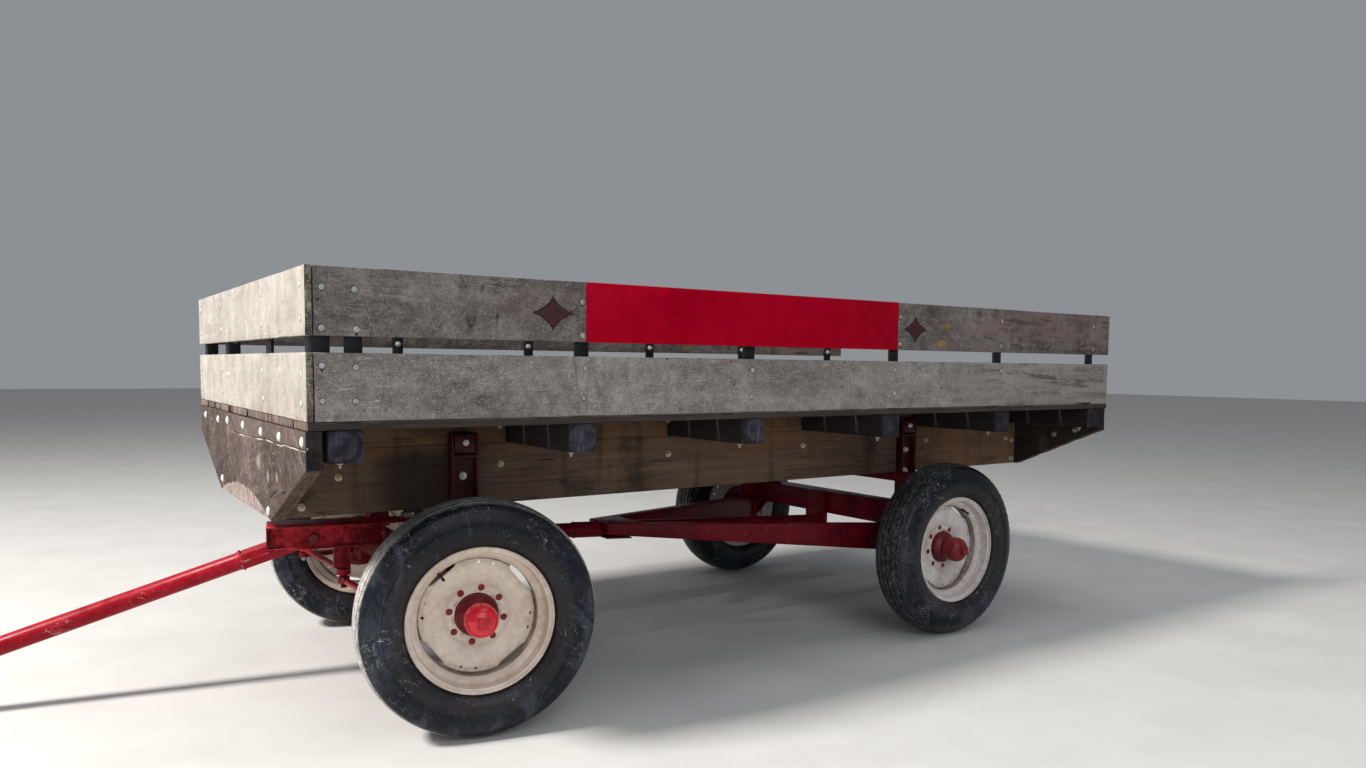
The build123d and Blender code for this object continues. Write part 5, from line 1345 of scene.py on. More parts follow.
# ------------------------------------------------------------------ stakes, bolsters
FRONT_BOLSTER_B, REAR_BOLSTER_B = 0.585, 2.655
g = Geo()
bevelled_node(g, "stakes", 0.0018, 0)
for b in (FRONT_BOLSTER_B, REAR_BOLSTER_B):
    for side in (1, -1):
        yw = side * (MAIN_Y1 + 0.008)
        # lug plate part way up, and a flat cover across the flanges above it
        prism(g, [(-0.045, 0), (0.045, 0), (0.045, 0.034), (-0.045, 0.034)], (X(b), side * (MAIN_Y1 + 0.006), 0.799), (side, 0, 0), (0, side, 0), 0.008, 0.0012, 0)
        prism(g, [(-0.034, 0), (0.034, 0), (0.034, 0.058), (-0.034, 0.058)], (X(b), side * (MAIN_Y1 + 0.030), 0.815), (side, 0, 0), (0, 0, 1), -0.006, 0.0012, 0)
        for z, lift in ((0.847, 0.030), (0.737, 0.0085), (0.644, 0.0085)):
            hex_head(g, (X(b) - 0.002, side * (MAIN_Y1 + lift), z), (0, side, 0), 0.019, 0.009, 0.013, 1, rng.uniform(0, 60), 0.007)
        for k in (-1, 1):
            bead(g, (X(b) + k * 0.041, side * (MAIN_Y1 + 0.010), 0.8075), (X(b) + k * 0.041, side * (MAIN_Y1 + 0.036), 0.8075), 0.003, 0, z)
            bead(g, (X(b) + k * 0.0465, side * (MAIN_Y1 + 0.002), MAIN_BOT + 0.001), (X(b) + k * 0.0465, side * (MAIN_Y1 + 0.036), MAIN_BOT + 0.001), 0.0035, 0, b)
g.make("bolster_stakes", [M["stake"], M["zinc_pale"]], replaces=["stakes"])
for label, b in (("front_bolster", FRONT_BOLSTER_B), ("rear_bolster", REAR_BOLSTER_B)):
    g = Geo()
    z0 = 0.598
    # folded channel, open below
    block(g, (X(b), 0, MAIN_BOT - 0.004), (0.100, 0.964, 0.008), 0.0028, 0)
    for k in (-1, 1):
        block(g, (X(b) + k * 0.0455, 0, (z0 + MAIN_BOT) / 2), (0.009, 0.964, MAIN_BOT - z0), 0.0026, 0)
        block(g, (X(b), k * 0.478, (z0 + MAIN_BOT) / 2), (0.096, 0.008, MAIN_BOT - z0 - 0.002), 0.002, 0)
    for y in (-0.30, -0.15, 0.0, 0.15, 0.30):
        block(g, (X(b), y, (z0 + MAIN_BOT) / 2 + 0.002), (0.090, 0.006, MAIN_BOT - z0 - 0.008), 0.001, 0)
    for y in (-0.24, 0.24):
        hex_head(g, (X(b), y, MAIN_BOT - 0.0085), (0, 0, -1), 0.022, 0.010, 0.016, 1, 12, 0.008)
    g.make(label + "_channel", [M["gear"], M["dull"]], replaces=[label])

# ------------------------------------------------------------------ front axle, king bolt
g = Geo()
bevelled_node(g, "front_axle", 0.004, 0, 3)
for side in (1, -1):
    c = Vector((FA_X, side * KING_Y, 0))
    for z in (0.303, 0.417):
        lathe(g, [(-0.003, 0.0345), (0.0, 0.0355), (0.003, 0.0345)], c + UP * z, UP, 32, 0)
    # web plates between the neck and the beam
    for k in (-1, 1):
        prism(g, [(0, 0), (0.105, 0), (0.105, 0.050), (0.010, 0.088), (0, 0.088)], (FA_X + k * 0.030 - 0.003, side * 0.440, 0.361), (0, side, 0), (0, 0, 1),
              0.006 * side, 0.0012, 0)
    bead(g, (FA_X - 0.028, side * 0.516, 0.361), (FA_X - 0.028, side * 0.516, 0.449), 0.004, 0, 1)
    bead(g, (FA_X + 0.028, side * 0.516, 0.361), (FA_X + 0.028, side * 0.516, 0.418), 0.004, 0, 2)
    # grease nipple on the boss
    lathe(g, [(0, 0.005), (0.006, 0.005), (0.007, 0.0032), (0.014, 0.0032), (0.016, 0.002), (0.016, 0)], c + Vector((-0.0315, 0, 0.372)), (-1, 0, 0.2), 10, 1)
    rx = X(FRONT_BOLSTER_B) + 0.012
    for k in (-1, 1):
        bead(g, (rx + k * 0.038, side * 0.424, 0.451), (rx + k * 0.038, side * 0.480, 0.451), 0.004, 0, 3)
        bead(g, (rx + k * 0.038, side * 0.424, 0.597), (rx + k * 0.038, side * 0.480, 0.597), 0.004, 0, 4)
for k in (-1, 1):
    bead(g, (FA_X - 0.050, k * 0.042, 0.4515), (FA_X - 0.118, k * 0.042, 0.4515), 0.004, 0, 5)
g.make("front_axle_beam", [M["gear"], M["steel"]], replaces=["front_axle"])

g = Geo()
top = 0.550
lathe(g, [(-0.223, 0), (-0.223, 0.012), (-0.219, 0.0138), (0.0, 0.0138)], (FA_X, 0, top), UP, 28, 0)
hex_head(g, (FA_X, 0, top), UP, 0.041, 0.014, 0.026, 0, 14)
hex_head(g, (FA_X, 0, 0.360), (0, 0, -1), 0.041, 0.018, 0.026, 0, 8)
rod(g, (FA_X - 0.020, 0, 0.334), (FA_X + 0.020, 0, 0.334), 0.0024, 8)
g.make("king_bolt_and_nut", [M["steel"]], replaces=["king_bolt"])

# ------------------------------------------------------------------ rear axle
g = Geo()
bevelled_node(g, "rear_axle", 0.004, 0, 3)
RB0, RB1 = 0.411, 0.511
for side in (1, -1):
    for k in (-1, 1):
        bead(g, (RA_X + k * 0.047, side * 0.577, RB0 + 0.004), (RA_X + k * 0.047, side * 0.577, RB1 - 0.004), 0.004, 0, 6)
        prism(g, [(0, 0), (0.115, 0.0), (0.115, -0.090), (0.095, -0.090)], (RA_X + k * 0.026 - 0.003, side * 0.462, RB0), (0, side, 0), (0, 0, 1), 0.006 * side, 0.0012, 0)
    lathe(g, [(0, 0.046), (0.010, 0.046), (0.014, 0.040), (0.016, 0.027)], (RA_X, side * 0.611, WHEEL_Z), (0, side, 0), 32, 0)
    rx = X(REAR_BOLSTER_B) + 0.020
    for k in (-1, 1):
        bead(g, (rx + k * 0.030, side * 0.424, RB1 + 0.001), (rx + k * 0.030, side * 0.480, RB1 + 0.001), 0.004, 0, 7)
        bead(g, (rx + k * 0.030, side * 0.424, 0.597), (rx + k * 0.030, side * 0.480, 0.597), 0.004, 0, 8)
for k in (-1, 1):
    bead(g, (RA_X + 0.0745, k * 0.060, 0.330), (RA_X + 0.0745, k * 0.060, 0.512), 0.0025, 0, 9)
g.make("rear_axle_beam", [M["gear"]], replaces=["rear_axle"])

# ------------------------------------------------------------------ reach: inner and outer tube with its clamp, and the hounds
g = Geo()
REACH_B0, REACH_B1 = 0.666, 2.518
a = Vector((X(REACH_B0), 0, 0.470))
bend = Vector((-1, 0, -0.056))
step_b = 1.215
p_mid = a + bend * (step_b - REACH_B0)
p_end = a + bend * (REACH_B1 - REACH_B0)
d = (p_end - a).normalized()
la, lb = (p_mid - a).length, (p_end - a).length
lathe(g, [(0, 0), (0, 0.026), (0.002, 0.0285), (la, 0.0285), (la, 0.0300), (la + 0.002, 0.0318), (lb - 0.001, 0.0318), (lb, 0.0305), (lb, 0)], a, d, 40, 0)
lathe(g, [(la - 0.001, 0.0315), (la, 0.0328), (la + 0.010, 0.0328), (la + 0.012, 0.0315)], a, d, 40, 0)
ring_bead(g, a + d * 0.002, d, 0.0300, 0.0035, 0)
ring_bead(g, a + d * (lb - 0.003), d, 0.0335, 0.0040, 0)
g.make("reach_tube", [M["gear"]], replaces=["reach"])

g = Geo()
bevelled_node(g, "hounds", 0.0035, 0, 3)
(hb0, hy0, ht0, hu0), (hb1, hy1, ht1, hu1) = (1.335, 0.034, 0.465, 0.419), (2.542, 0.500, 0.429, 0.310)
run = Vector((X(hb1) - X(hb0), hy1 - hy0, 0))
for side in (1, -1):
    along = Vector((run.x, side * run.y, 0)).normalized()
    outw = Vector((-along.y, along.x, 0)) * (1 if side < 0 else -1)
    if outw.y * side < 0:
        outw = -outw
    for s in (0.075, 0.165):
        base = Vector((X(hb0), side * (hy0 + 0.046), 0)) + along * s
        lathe(g, [(-0.001, 0.0085), (0.0010, 0.0085), (0.0022, 0.0070), (0.0014, 0.0030), (0.0014, 0)], Vector((base.x, base.y, 0.441 - s * 0.05)) + outw * 0.0002, outw, 20, 0)
    # weld on the axle
    for z0, z1 in ((0.412, ht1 - 0.002),):
        bead(g, (X(hb1) + 0.001, side * (hy1 + 0.0475), z0), (X(hb1) + 0.001, side * (hy1 + 0.0475), z1), 0.0038, 0, 2)
        bead(g, (X(hb1) + 0.001, side * (hy1 - 0.0015), z0), (X(hb1) + 0.001, side * (hy1 - 0.0015), z1), 0.0038, 0, 3)
# cross tie between the hounds behind the front joint, above and below the reach
for z in (0.4680, 0.4070):
    prism(g, [(X(1.345), -0.060), (X(1.345), 0.060), (X(1.470), 0.110), (X(1.470), -0.110)] if z > 0.45 else
          [(X(1.345), -0.055), (X(1.345), 0.055), (X(1.440), 0.090), (X(1.440), -0.090)], (0, 0, z - 0.003), (1, 0, 0), (0, 1, 0), -0.006, 0.0012, 0)
g.make("hound_arms", [M["gear"]], replaces=["hounds"])

# ------------------------------------------------------------------ steering bracket and its pin
g = Geo()
bevelled_node(g, "steering_bracket", 0.0015, 0, 2)


def K(x, y, z):
    return KING + ARM * x + SIDE * y + UP * z


BR_W = 0.136
for s in (1, -1):
    # lips along the upper and lower edges of both side plates
    for z, t, w in ((0.5440, 0.0065, 0.0125), (0.4695, 0.0065, 0.0085)):
        prism(g, [(0.082, 0), (0.4668, 0), (0.4668, w), (0.088, w)], K(0, s * (BR_W / 2 - 0.002), z - (t if s > 0 else 0)), ARM, SIDE * s, t, 0.0016, 0)
    prism(g, [(0.460, 0), (0.4668, 0), (0.4668, 0.006), (0.460, 0.006)], K(0, s * (BR_W / 2 - 0.001), 0.469 if s > 0 else 0.538), ARM, SIDE * s, 0.069, 0.0012, 0)
    bead(g, K(0.090, s * (BR_W / 2 + 0.001), 0.468), K(0.090, s * (BR_W / 2 + 0.001), 0.538), 0.003, 0, s)
    for k in (-1, 1):
        bead(g, K(0.225 + k * 0.0285, s * 0.022, 0.4625), K(0.225 + k * 0.0285, s * -0.022, 0.4625), 0.0035, 0, k)
ring_bead(g, K(0, 0, 0.5445), UP, 0.030, 0.0022, 0)
lathe(g, [(0, 0.0145), (0, 0.030), (0.0045, 0.030), (0.0052, 0.028), (0.0052, 0.0145)], K(0, 0, 0.544), UP, 32, 0)
hex_head(g, K(0.22, 0, 0.3075), (0, 0, -1), 0.024, 0.0, 0.0, 1, 5)
g.make("steering_bracket_plates", [M["bracket"], M["steel"]], "steering_bracket", ["steering_bracket"])
g = Geo()
c = PIN
lathe(g, [(-0.082, 0), (-0.082, 0.0095), (-0.080, 0.0109), (0.068, 0.0109)], c, SIDE, 24, 0)
lathe(g, [(0.0685, 0.0105), (0.0685, 0.0165), (0.0748, 0.0168), (0.0772, 0.0145), (0.0778, 0)], c, SIDE, 28, 0)
lathe(g, [(-0.0700, 0.0112), (-0.0700, 0.0185), (-0.0725, 0.0185), (-0.0725, 0.0112)], c, SIDE, 24, 1, closed=True)
rod(g, c - SIDE * 0.0765 + UP * 0.019, c - SIDE * 0.0765 - UP * 0.019, 0.0022, 8, 1)
g.make("tongue_hinge_pin", [M["pin_head"], M["steel"]], "steering_bracket", ["tongue_pin"])

# ------------------------------------------------------------------ tongue
def T(x, y, z):
    return PIN + TONGUE_X * x + SIDE * y + TONGUE_Z * z


g = Geo()
bevelled_node(g, "tongue_socket", 0.0035, 0, 3)
# the box closes down on the tube with a faced end and four welded corners
for s in (1, -1):
    bead(g, T(0.2355, s * 0.044, -0.022), T(0.2355, s * 0.044, 0.022), 0.0035, 0, s)
    bead(g, T(0.2355, -0.044, s * 0.0225), T(0.2355, 0.044, s * 0.0225), 0.0035, 0, s + 2)
    bead(g, T(0.150, s * 0.0485, 0.0), T(0.230, s * 0.0485, 0.0), 0.0022, 0, s + 5)
g.make("tongue_box", [M["tongue"]], "tongue", ["tongue_socket"])
g = Geo()
lathe(g, [(0.236, 0.0), (0.236, 0.0315), (0.246, 0.0322), (0.250, 0.0301), (0.60, 0.0300), (0.602, 0.0302), (1.437, 0.0300), (1.445, 0.0290), (1.445, 0.0)], PIN, TONGUE_X, 48, 0)
ring_bead(g, T(0.2385, 0, 0), TONGUE_X, 0.0325, 0.0040, 0)
ring_bead(g, T(1.4435, 0, 0), TONGUE_X, 0.0300, 0.0030, 0)
g.make("tongue_pipe", [M["tongue"]], "tongue", ["tongue_tube"])
g = Geo()
bevelled_node(g, "tongue_hitch", 0.0022, 0, 2)
for s in (1, -1):
    bead(g, T(1.4455, -0.030, s * 0.024), T(1.4455, 0.030, s * 0.024), 0.0028, 0, s)
g.make("tongue_hitch_jaws", [M["tongue"]], "tongue", ["tongue_hitch"])

# ------------------------------------------------------------------ knuckles, kingpins, tie rods
for label, side in (("left", 1), ("right", -1)):
    out = SIDE * side
    pivot = Vector((FA_X, side * KING_Y, 0))
    g = Geo()
    bevelled_node(g, f"{label}_knuckle", 0.0030, 0, 2)
    face = pivot + out * 0.062 + UP * WHEEL_Z
    lathe(g, [(0, 0.044), (0.008, 0.044), (0.012, 0.038), (0.0135, 0.027)], face, out, 32, 0)
    for s in (1, -1):
        bead(g, pivot + out * 0.040 + ARM * s * 0.0305 + UP * 0.279, pivot + out * 0.040 + ARM * s * 0.0305 + UP * 0.441, 0.003, 0, s)
    eye = pivot + ARM * 0.220
    lathe(g, [(-0.0005, 0.0115), (0.0015, 0.0115), (0.0015, 0.0)], eye + UP * 0.3755, UP, 20, 1)
    rod(g, eye + UP * 0.3785 - SIDE * 0.012, eye + UP * 0.3785 + SIDE * 0.012, 0.0018, 8, 1)
    hex_head(g, eye + UP * 0.3168, (0, 0, -1), 0.021, 0.010, 0.013, 1, 20, 0.004)
    lathe(g, [(0, 0.005), (0.006, 0.005), (0.007, 0.0032), (0.013, 0.0032), (0.015, 0.002), (0.015, 0)], pivot + UP * 0.435 + ARM * 0.029, ARM, 10, 1)
    g.make(f"{label}_knuckle_forging", [M["gear"], M["steel"]], f"{label}_knuckle", [f"{label}_knuckle"])
    g = Geo()
    lathe(g, [(0.276, 0), (0.276, 0.0145), (0.278, 0.0159), (0.4438, 0.0159), (0.4442, 0.0205), (0.446, 0.0215), (0.450, 0.0208), (0.452, 0.018), (0.452, 0)], pivot, UP, 28, 0)
    g.make(f"{label}_kingpin_bolt", [M["steel"]], f"{label}_knuckle", [f"{label}_kingpin"])

ROD_EYE_Z = 0.351
post = KING + ARM * 0.220
for label, side, z_in, bore, ring in (("left", 1, 0.334, 0.01006, 0.021), ("right", -1, 0.365, 0.01406, 0.025)):
    p = Vector((FA_X, side * KING_Y, ROD_EYE_Z)) + ARM * 0.220
    q = Vector((post.x, post.y, z_in))
    d = (q - p).normalized()
    length = (q - p).length
    g = Geo()
    r0, r1 = 0.018, ring
    for c, r, bo in ((p, r0, 0.0083), (q, r1, bore + 0.0003)):
        lathe(g, [(-0.0115, bo), (-0.0118, bo + 0.0015), (-0.0118, r - 0.003), (-0.0095, r), (0.0095, r), (0.0118, r - 0.003), (0.0118, bo + 0.0015), (0.0115, bo)], c, UP, 32, 0, closed=True)
    # threaded ends with lock nuts and a turned-down rod between
    s0, s1 = 0.016, length - r1 + 0.003
    lathe(g, [(s0, 0.0), (s0, 0.0095), (s0 + 0.030, 0.0095), (s0 + 0.032, 0.0118), (s1 - 0.034, 0.0118), (s1 - 0.032, 0.0095), (s1, 0.0095), (s1, 0)], p, d, 28, 0)
    for at, way in ((p + d * (s0 + 0.020), d), (p + d * (s1 - 0.020), -d)):
        hex_head(g, at, way, 0.0235, 0.010, 0.0, 1, 12)
    g.make(f"{label}_tie_rod_bar", [M["tongue"], M["gear"]], f"{label}_tie_rod", [f"{label}_tie_rod"])

# ------------------------------------------------------------------ wheels
WHEELS = [
    ("front_left", Vector((FA_X, KING_Y, WHEEL_Z)) + SIDE * (WHEEL_Y - KING_Y), SIDE, 10.0),
    ("front_right", Vector((FA_X, -KING_Y, WHEEL_Z)) - SIDE * (WHEEL_Y - KING_Y), -SIDE, 33.0),
    ("rear_left", Vector((RA_X, WHEEL_Y, WHEEL_Z)), Vector((0, 1, 0)), 81.0),
    ("rear_right", Vector((RA_X, -WHEEL_Y, WHEEL_Z)), Vector((0, -1, 0)), 57.0),
]
mm = 0.001
HALF = [(57.0, 207), (57.6, 221.6), (64, 222.6), (70, 226), (76, 233), (80.5, 241), (81.2, 243), (83.0, 244.6), (84.0, 248), (85.2, 257), (86.2, 268), (86.9, 278), (87.0, 283.5), (89.0, 285.2),
        (89.2, 289.4), (87.0, 291.2), (86.4, 298), (85.2, 306), (83.2, 314), (80.4, 321.5), (77.2, 328), (76.4, 330.4), (73.4, 333.8), (70.0, 338.2), (66, 342)]
# tread ribs: outer and inner edge of each groove on one half
TREAD = [(66, 342), (62, 344.4), (57, 346.8), (52.5, 348.6), (51.6, 347.6), (50.8, 341.0), (47.2, 340.8), (46.2, 349.4), (45.2, 350.8), (36, 352.8), (28.0, 354.0), (27.2, 353.2), (26.4, 346.0), (22.6, 345.6),
         (21.6, 353.6), (20.6, 354.8), (12, 355.5), (4.4, 355.9), (3.5, 355.1), (2.6, 348.0), (-2.6, 348.0)]


def tyre_profile():
    right = HALF + TREAD[1:-1]
    left = [(-s, r) for s, r in reversed(right)]
    return [(s * mm, r * mm) for s, r in right + left] + [(-0.0565, 0.2053), (0.0565, 0.2053)]


RIM = [(-62.5, 219.6), (-65.4, 217.6), (-66.0, 214.6), (-65.0, 212.4), (-63.2, 214.4), (-62.0, 217.0), (-60.2, 216.4), (-58.6, 209.0), (-57.0, 203.6), (-52, 202.6), (-42, 201.8),
       (-38.5, 199.6), (-33.5, 186), (-30.5, 179.6), (-26, 178.2), (8, 178.2), (12.5, 179.6), (15.5, 186), (20.5, 199.6), (24, 201.8), (44, 202.4), (54, 203.2), (57.0, 204.0),
       (58.6, 209.0), (60.2, 216.4), (62.0, 217.0), (63.2, 214.4), (65.0, 212.4), (66.0, 214.6), (65.4, 217.6), (62.5, 219.6), (60.2, 219.2), (58.8, 217.0), (57.4, 208.0),
       (56.0, 205.0), (24, 203.8), (20.0, 202.6), (18.5, 200.5), (13.4, 187), (11.2, 182.2), (8, 181.0), (-26, 181.0), (-29.2, 182.2), (-31.4, 187), (-36.5, 200.5), (-38.0, 202.6),
       (-42, 203.8), (-56.0, 205.0), (-57.4, 208.0), (-58.8, 217.0), (-60.2, 219.2)]
DISC = [(-17.0, 66.6), (-17.0, 69), (-18.6, 71.5), (-18.6, 93), (-17.4, 97), (-14.0, 104), (-9.6, 118), (-7.2, 132), (-6.2, 145), (-6.4, 156), (-7.4, 160), (-9.4, 164), (-10.0, 169.5),
        (-11.0, 173.6), (-13.0, 176.6), (-17.5, 177.6), (-17.5, 174.6), (-15.8, 172.0), (-14.6, 168), (-14.0, 163), (-11.8, 158), (-11.2, 145), (-12.2, 132), (-14.6, 119), (-19.0, 106),
        (-22.4, 98), (-23.6, 93), (-23.6, 71.5), (-22.5, 66.6)]
LUG_R = 0.08255


def wheel_steel(rotation):
    """Disc in wheel coordinates: x forward, y up, z outwards, with its holes cut."""
    g = Geo()
    axis, ref = Vector((0, 0, 1)), Vector((1, 0, 0))
    lathe(g, [(s * mm, r * mm) for s, r in DISC], Vector(), axis, 192, 0, ref, closed=True)
    me = bpy.data.meshes.new("disc_raw")
    me.from_pydata(g.v, [], g.f)
    bm = bmesh.new()
    bm.from_mesh(me)
    bmesh.ops.recalc_face_normals(bm, faces=bm.faces)
    bm.to_mesh(me)
    bm.free()
    disc = bpy.data.objects.new("disc_raw", me)
    bpy.context.scene.collection.objects.link(disc)
    cut = Geo()
    for k in range(8):
        a = math.radians(45 * k + rotation)
        c = Vector((math.cos(a), math.sin(a), 0)) * LUG_R
        lathe(cut, [(-0.060, 0), (-0.060, 0.0104), (-0.0190, 0.0104), (-0.0165, 0.0118), (0.02, 0.0118), (0.02, 0)], c, axis, 28)
    for k in range(4):
        for e in (-8.0, 8.0):
            a = math.radians(90 * k + e + rotation)
            lathe(cut, [(-0.060, 0), (-0.060, 0.0047), (0.02, 0.0047), (0.02, 0)], Vector((math.cos(a), math.sin(a), 0)) * 0.1605, axis, 18)
        a = math.radians(90 * k + 42 + rotation)
        u, v = Vector((math.cos(a), math.sin(a), 0)), Vector((-math.sin(a), math.cos(a), 0))
        prism(cut, [(0.1605, -0.040), (0.1622, -0.046), (0.1672, -0.054), (0.200, -0.064), (0.200, 0.064), (0.1672, 0.054), (0.1622, 0.046), (0.1605, 0.040)], Vector((0, 0, -0.06)), u, v, 0.09, 0.0, 0)
    cm = bpy.data.meshes.new("disc_cut")
    cm.from_pydata(cut.v, [], cut.f)
    bm = bmesh.new()
    bm.from_mesh(cm)
    bmesh.ops.recalc_face_normals(bm, faces=bm.faces)
    bm.to_mesh(cm)
    bm.free()
    cutter = bpy.data.objects.new("disc_cut", cm)
    bpy.context.scene.collection.objects.link(cutter)
    mod = disc.modifiers.new("holes", "BOOLEAN")
    mod.operation, mod.solver, mod.object = "DIFFERENCE", "EXACT", cutter
    bpy.context.view_layer.update()
    done = bpy.data.meshes.new_from_object(disc.evaluated_get(bpy.context.evaluated_depsgraph_get()))
    verts = [v.co.copy() for v in done.vertices]
    faces = [tuple(p.vertices) for p in done.polygons]
    for o in (disc, cutter):
        bpy.data.objects.remove(o)
    return verts, faces


DISC_V, DISC_F = wheel_steel(0.0)


def wheel_matrix(centre, out, rotation):
    """Wheel coordinates (x forward for a left wheel, y up, z outwards) to the row frame."""
    e1 = out.cross(UP).normalized()
    a = math.radians(rotation)
    x = e1 * math.cos(a) + UP * math.sin(a)
    y = -e1 * math.sin(a) + UP * math.cos(a)
    return x, y, centre


for label, centre, out, rotation in WHEELS:
    ex, ey, _ = wheel_matrix(centre, out, rotation)
    body = f"{label}_wheel"

    def P(x, y, s):
        return centre + ex * x + ey * y + out * s

    # tyre
    g = Geo()
    lathe(g, tyre_profile(), centre, out, 180, 0, ex, closed=True)
    # little rubber hairs and wear bars are too small; short moulded ribs run round the shoulder
    for k in range(60):
        a = 2 * math.pi * k / 60
        u = ex * math.cos(a) + ey * math.sin(a)
        t = -ex * math.sin(a) + ey * math.cos(a)
        for s in (1, -1):
            block(g, centre + u * 0.3355 + out * s * 0.0722, (0.011, 0.0030, 0.0030), 0.0009, 0, segments=1, axes=((u * 0.78 - out * s * 0.62).normalized(), t, (u * 0.62 + out * s * 0.78).normalized()))
    g.rad = [((Vector(p) - centre) - out * (Vector(p) - centre).dot(out)).length for p in g.v]
    g.ax = [(Vector(p) - centre).dot(out) for p in g.v]
    g.make(f"{label}_tyre_rubber", [M["tyre_front" if "front" in label else "tyre_rear"]], body, [f"{label}_tyre"], angle=40)

    # rim and disc
    g = Geo()
    lathe(g, [(s * mm, r * mm) for s, r in RIM], centre, out, 160, 0, ex, closed=True)
    flip = ex.cross(ey).dot(out) < 0
    g.add([P(v.x, v.y, v.z) for v in DISC_V], [tuple(reversed(f)) if flip else f for f in DISC_F], 0)
    # weld between disc and rim where they touch, left open at the four flats
    for k in range(4):
        a0, a1 = 90 * k - 24, 90 * k + 24
        pts = []
        for i in range(25):
            a = math.radians(a0 + (a1 - a0) * i / 24)
            pts.append(P(math.cos(a) * 0.1765, math.sin(a) * 0.1765, -0.0135))
        pipe(g, pts, 0.0028, 7, 0)
    g.rad = [((Vector(p) - centre) - out * (Vector(p) - centre).dot(out)).length for p in g.v]
    g.ax = [(Vector(p) - centre).dot(out) for p in g.v]
    # valve through the rim, in one of the openings
    a = math.radians(40)
    u = ex * math.cos(a) + ey * math.sin(a)
    base = centre + u * 0.181 + out * 0.006
    way = (out * 0.93 - u * 0.36).normalized()
    lathe(g, [(-0.004, 0), (-0.004, 0.0085), (0.002, 0.0085), (0.006, 0.0055), (0.026, 0.0042), (0.027, 0.0036), (0.036, 0.0036), (0.0365, 0.0046), (0.045, 0.0046), (0.046, 0.0036), (0.046, 0)],
          base, way, 18, 1)
    g.make(f"{label}_rim_and_disc", [M["cream" if "front" in label else "cream_rear"], M["valve"]], body, [f"{label}_wheel"], angle=34)

    # hub: flange, bell, neck and cap with a square boss, and the lug bolts
    g = Geo()
    prof = [(-62, 27), (-62, 50), (-60, 52), (-46, 57), (-40, 60), (-39, 63), (-39, 102), (-37, 104), (-27, 104), (-25, 102), (-25, 66), (-24, 64.5), (-10, 64.5), (-4, 63.5), (1, 61), (6, 56),
            (10, 50), (13, 45.5), (17, 43), (22, 43), (25, 44.5), (26.5, 48), (28.5, 49.6), (31, 50), (60, 50), (68, 49.2), (76, 46.6), (83, 42), (89, 35.5), (94, 27), (97, 18), (98.8, 8), (99.2, 0)]
    # bell and neck in a dark paint, painted shade under the cap, the cap from its step outwards in another
    split = next(i for i, q in enumerate(prof) if q[0] == 26.5)
    lathe(g, [(s * mm, r * mm) for s, r in prof], centre, out, 64, 0, ex, mats=[2 if i < split else 0 for i in range(len(prof) - 1)])
    block(g, centre + out * 0.0995, (0.0335, 0.0335, 0.021), 0.0016, 3, segments=2, axes=(ex, ey, out))
    ring_bead(g, centre + out * 0.0905, out, 0.0300, 0.0022, 0)
    for k in range(8):
        a = math.radians(45 * k)
        c = P(math.cos(a) * LUG_R, math.sin(a) * LUG_R, -0.0235)
        lathe(g, [(-0.002, 0.0), (-0.002, 0.0117), (0.0020, 0.0117), (0.0036, 0.0106), (0.0036, 0.0)], c, out, 20, 1)
        hex_head(g, c, out, 0.0165, 0.0058, 0.0, 1, 11 * k, 0.0)
    g.make(f"{label}_hub_and_lugs", [M["hub" if "front" in label else "hub_rear"], M["lug"], M["hub_bell"], M["hub_boss" if "front" in label else "hub_rear"]], body, [f"{label}_hub"], angle=34)

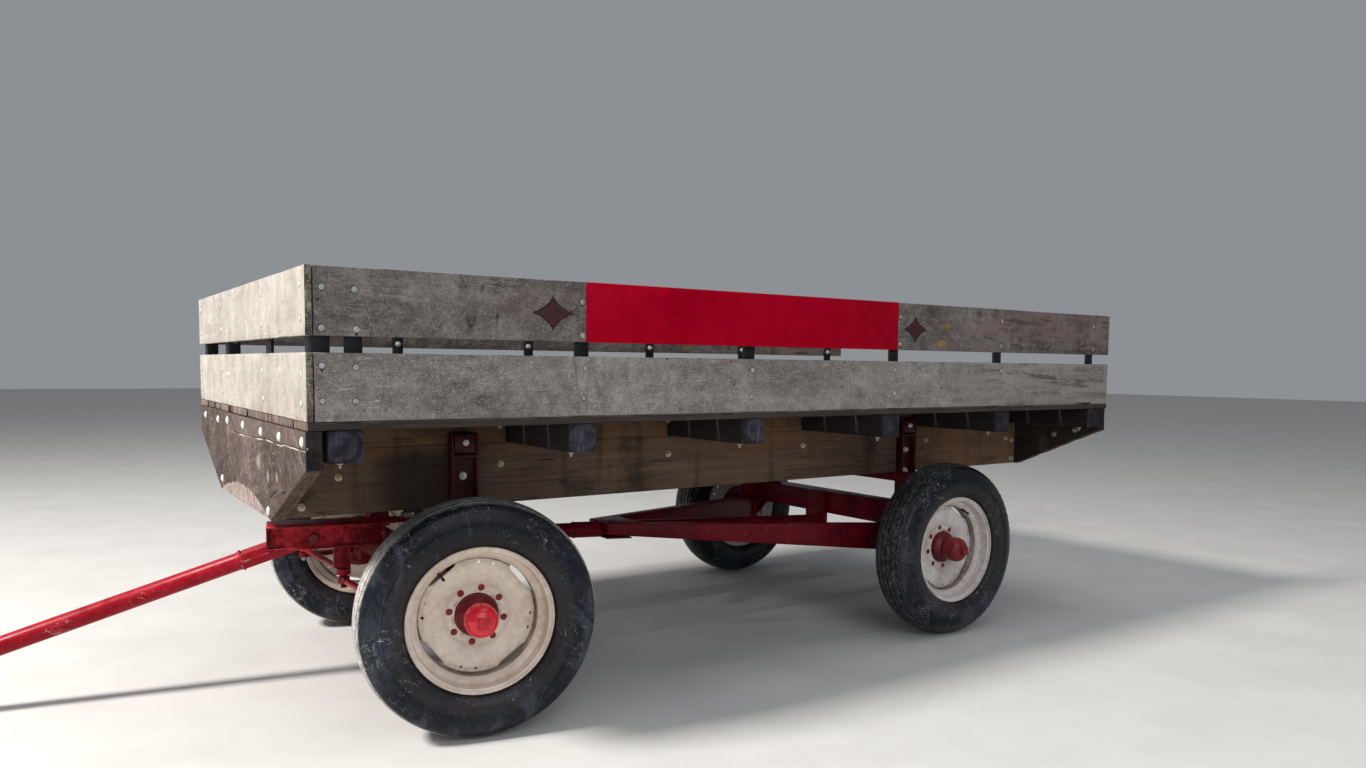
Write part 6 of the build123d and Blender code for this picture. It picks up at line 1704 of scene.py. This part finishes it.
# ------------------------------------------------------------------ floor, light and camera
me = bpy.data.meshes.new("floor")
S = 40.0
me.from_pydata([(-S, -S, 0), (S, -S, 0), (S, S, 0), (-S, S, 0)], [], [(0, 1, 2, 3)])
floor = bpy.data.objects.new("floor", me)
bpy.context.scene.collection.objects.link(floor)
fm = Mat("floor_pale", 0.85, spec=0.2)
fc = fm.ramp(fm.noise(3.0, 5, 0.6), [(0.3, (0.56, 0.55, 0.53)), (0.7, (0.62, 0.61, 0.59))])
me.materials.append(fm.out(fc))


def area(name, at, target, size, power, colour=(1, 1, 1), size_y=None):
    data = bpy.data.lights.new(name, "AREA")
    data.shape = "RECTANGLE"
    data.size = size
    data.size_y = size_y or size
    data.energy = power
    data.color = colour
    ob = bpy.data.objects.new(name, data)
    bpy.context.scene.collection.objects.link(ob)
    ob.location = at
    ob.rotation_mode = "QUATERNION"
    ob.rotation_quaternion = (Vector(target) - Vector(at)).to_track_quat("-Z", "Y")
    return ob


# key high ahead of the wagon, soft fill on the side that faces the camera
area("key", (7.2, -0.50, 6.9), (0.2, 0.0, 0.5), 1.3, 1350, (1.0, 0.965, 0.915))
area("fill", (1.5, 7.0, 4.0), (0, 0, 0.7), 5.0, 165, (0.90, 0.95, 1.0))
area("top", (-1.0, 1.0, 7.0), (-0.5, 0, 0.8), 5.0, 120, (0.95, 0.98, 1.0))
world = bpy.data.worlds.new("studio")
bpy.context.scene.world = world
world.use_nodes = True
bg = world.node_tree.nodes["Background"]
bg.inputs["Color"].default_value = (0.86, 0.90, 0.96, 1)
bg.inputs["Strength"].default_value = 0.31

cam_data = bpy.data.cameras.new("camera")
cam = bpy.data.objects.new("camera", cam_data)
bpy.context.scene.collection.objects.link(cam)
bpy.context.scene.camera = cam
yaw, pitch, roll = math.radians(-34.47), math.radians(4.11), math.radians(0.56)
fwd = Vector((math.sin(yaw) * math.cos(pitch), -math.cos(yaw) * math.cos(pitch), -math.sin(pitch)))
right = fwd.cross(UP).normalized()
upv = right.cross(fwd)
r2 = right * math.cos(roll) + upv * math.sin(roll)
u2 = upv * math.cos(roll) - right * math.sin(roll)
cam.matrix_world = frame_matrix(Vector((X0 + 0.572621, 3.3815, 1.1006 + LIFT)), r2, u2, -fwd)
cam_data.sensor_width = 36.0
cam_data.lens = 955.92 / 1366 * 36.0
cam_data.shift_y = (434.5 - 384.0) / 1366
cam_data.clip_start, cam_data.clip_end = 0.05, 200

scene = bpy.context.scene
scene.view_settings.view_transform = "Standard"
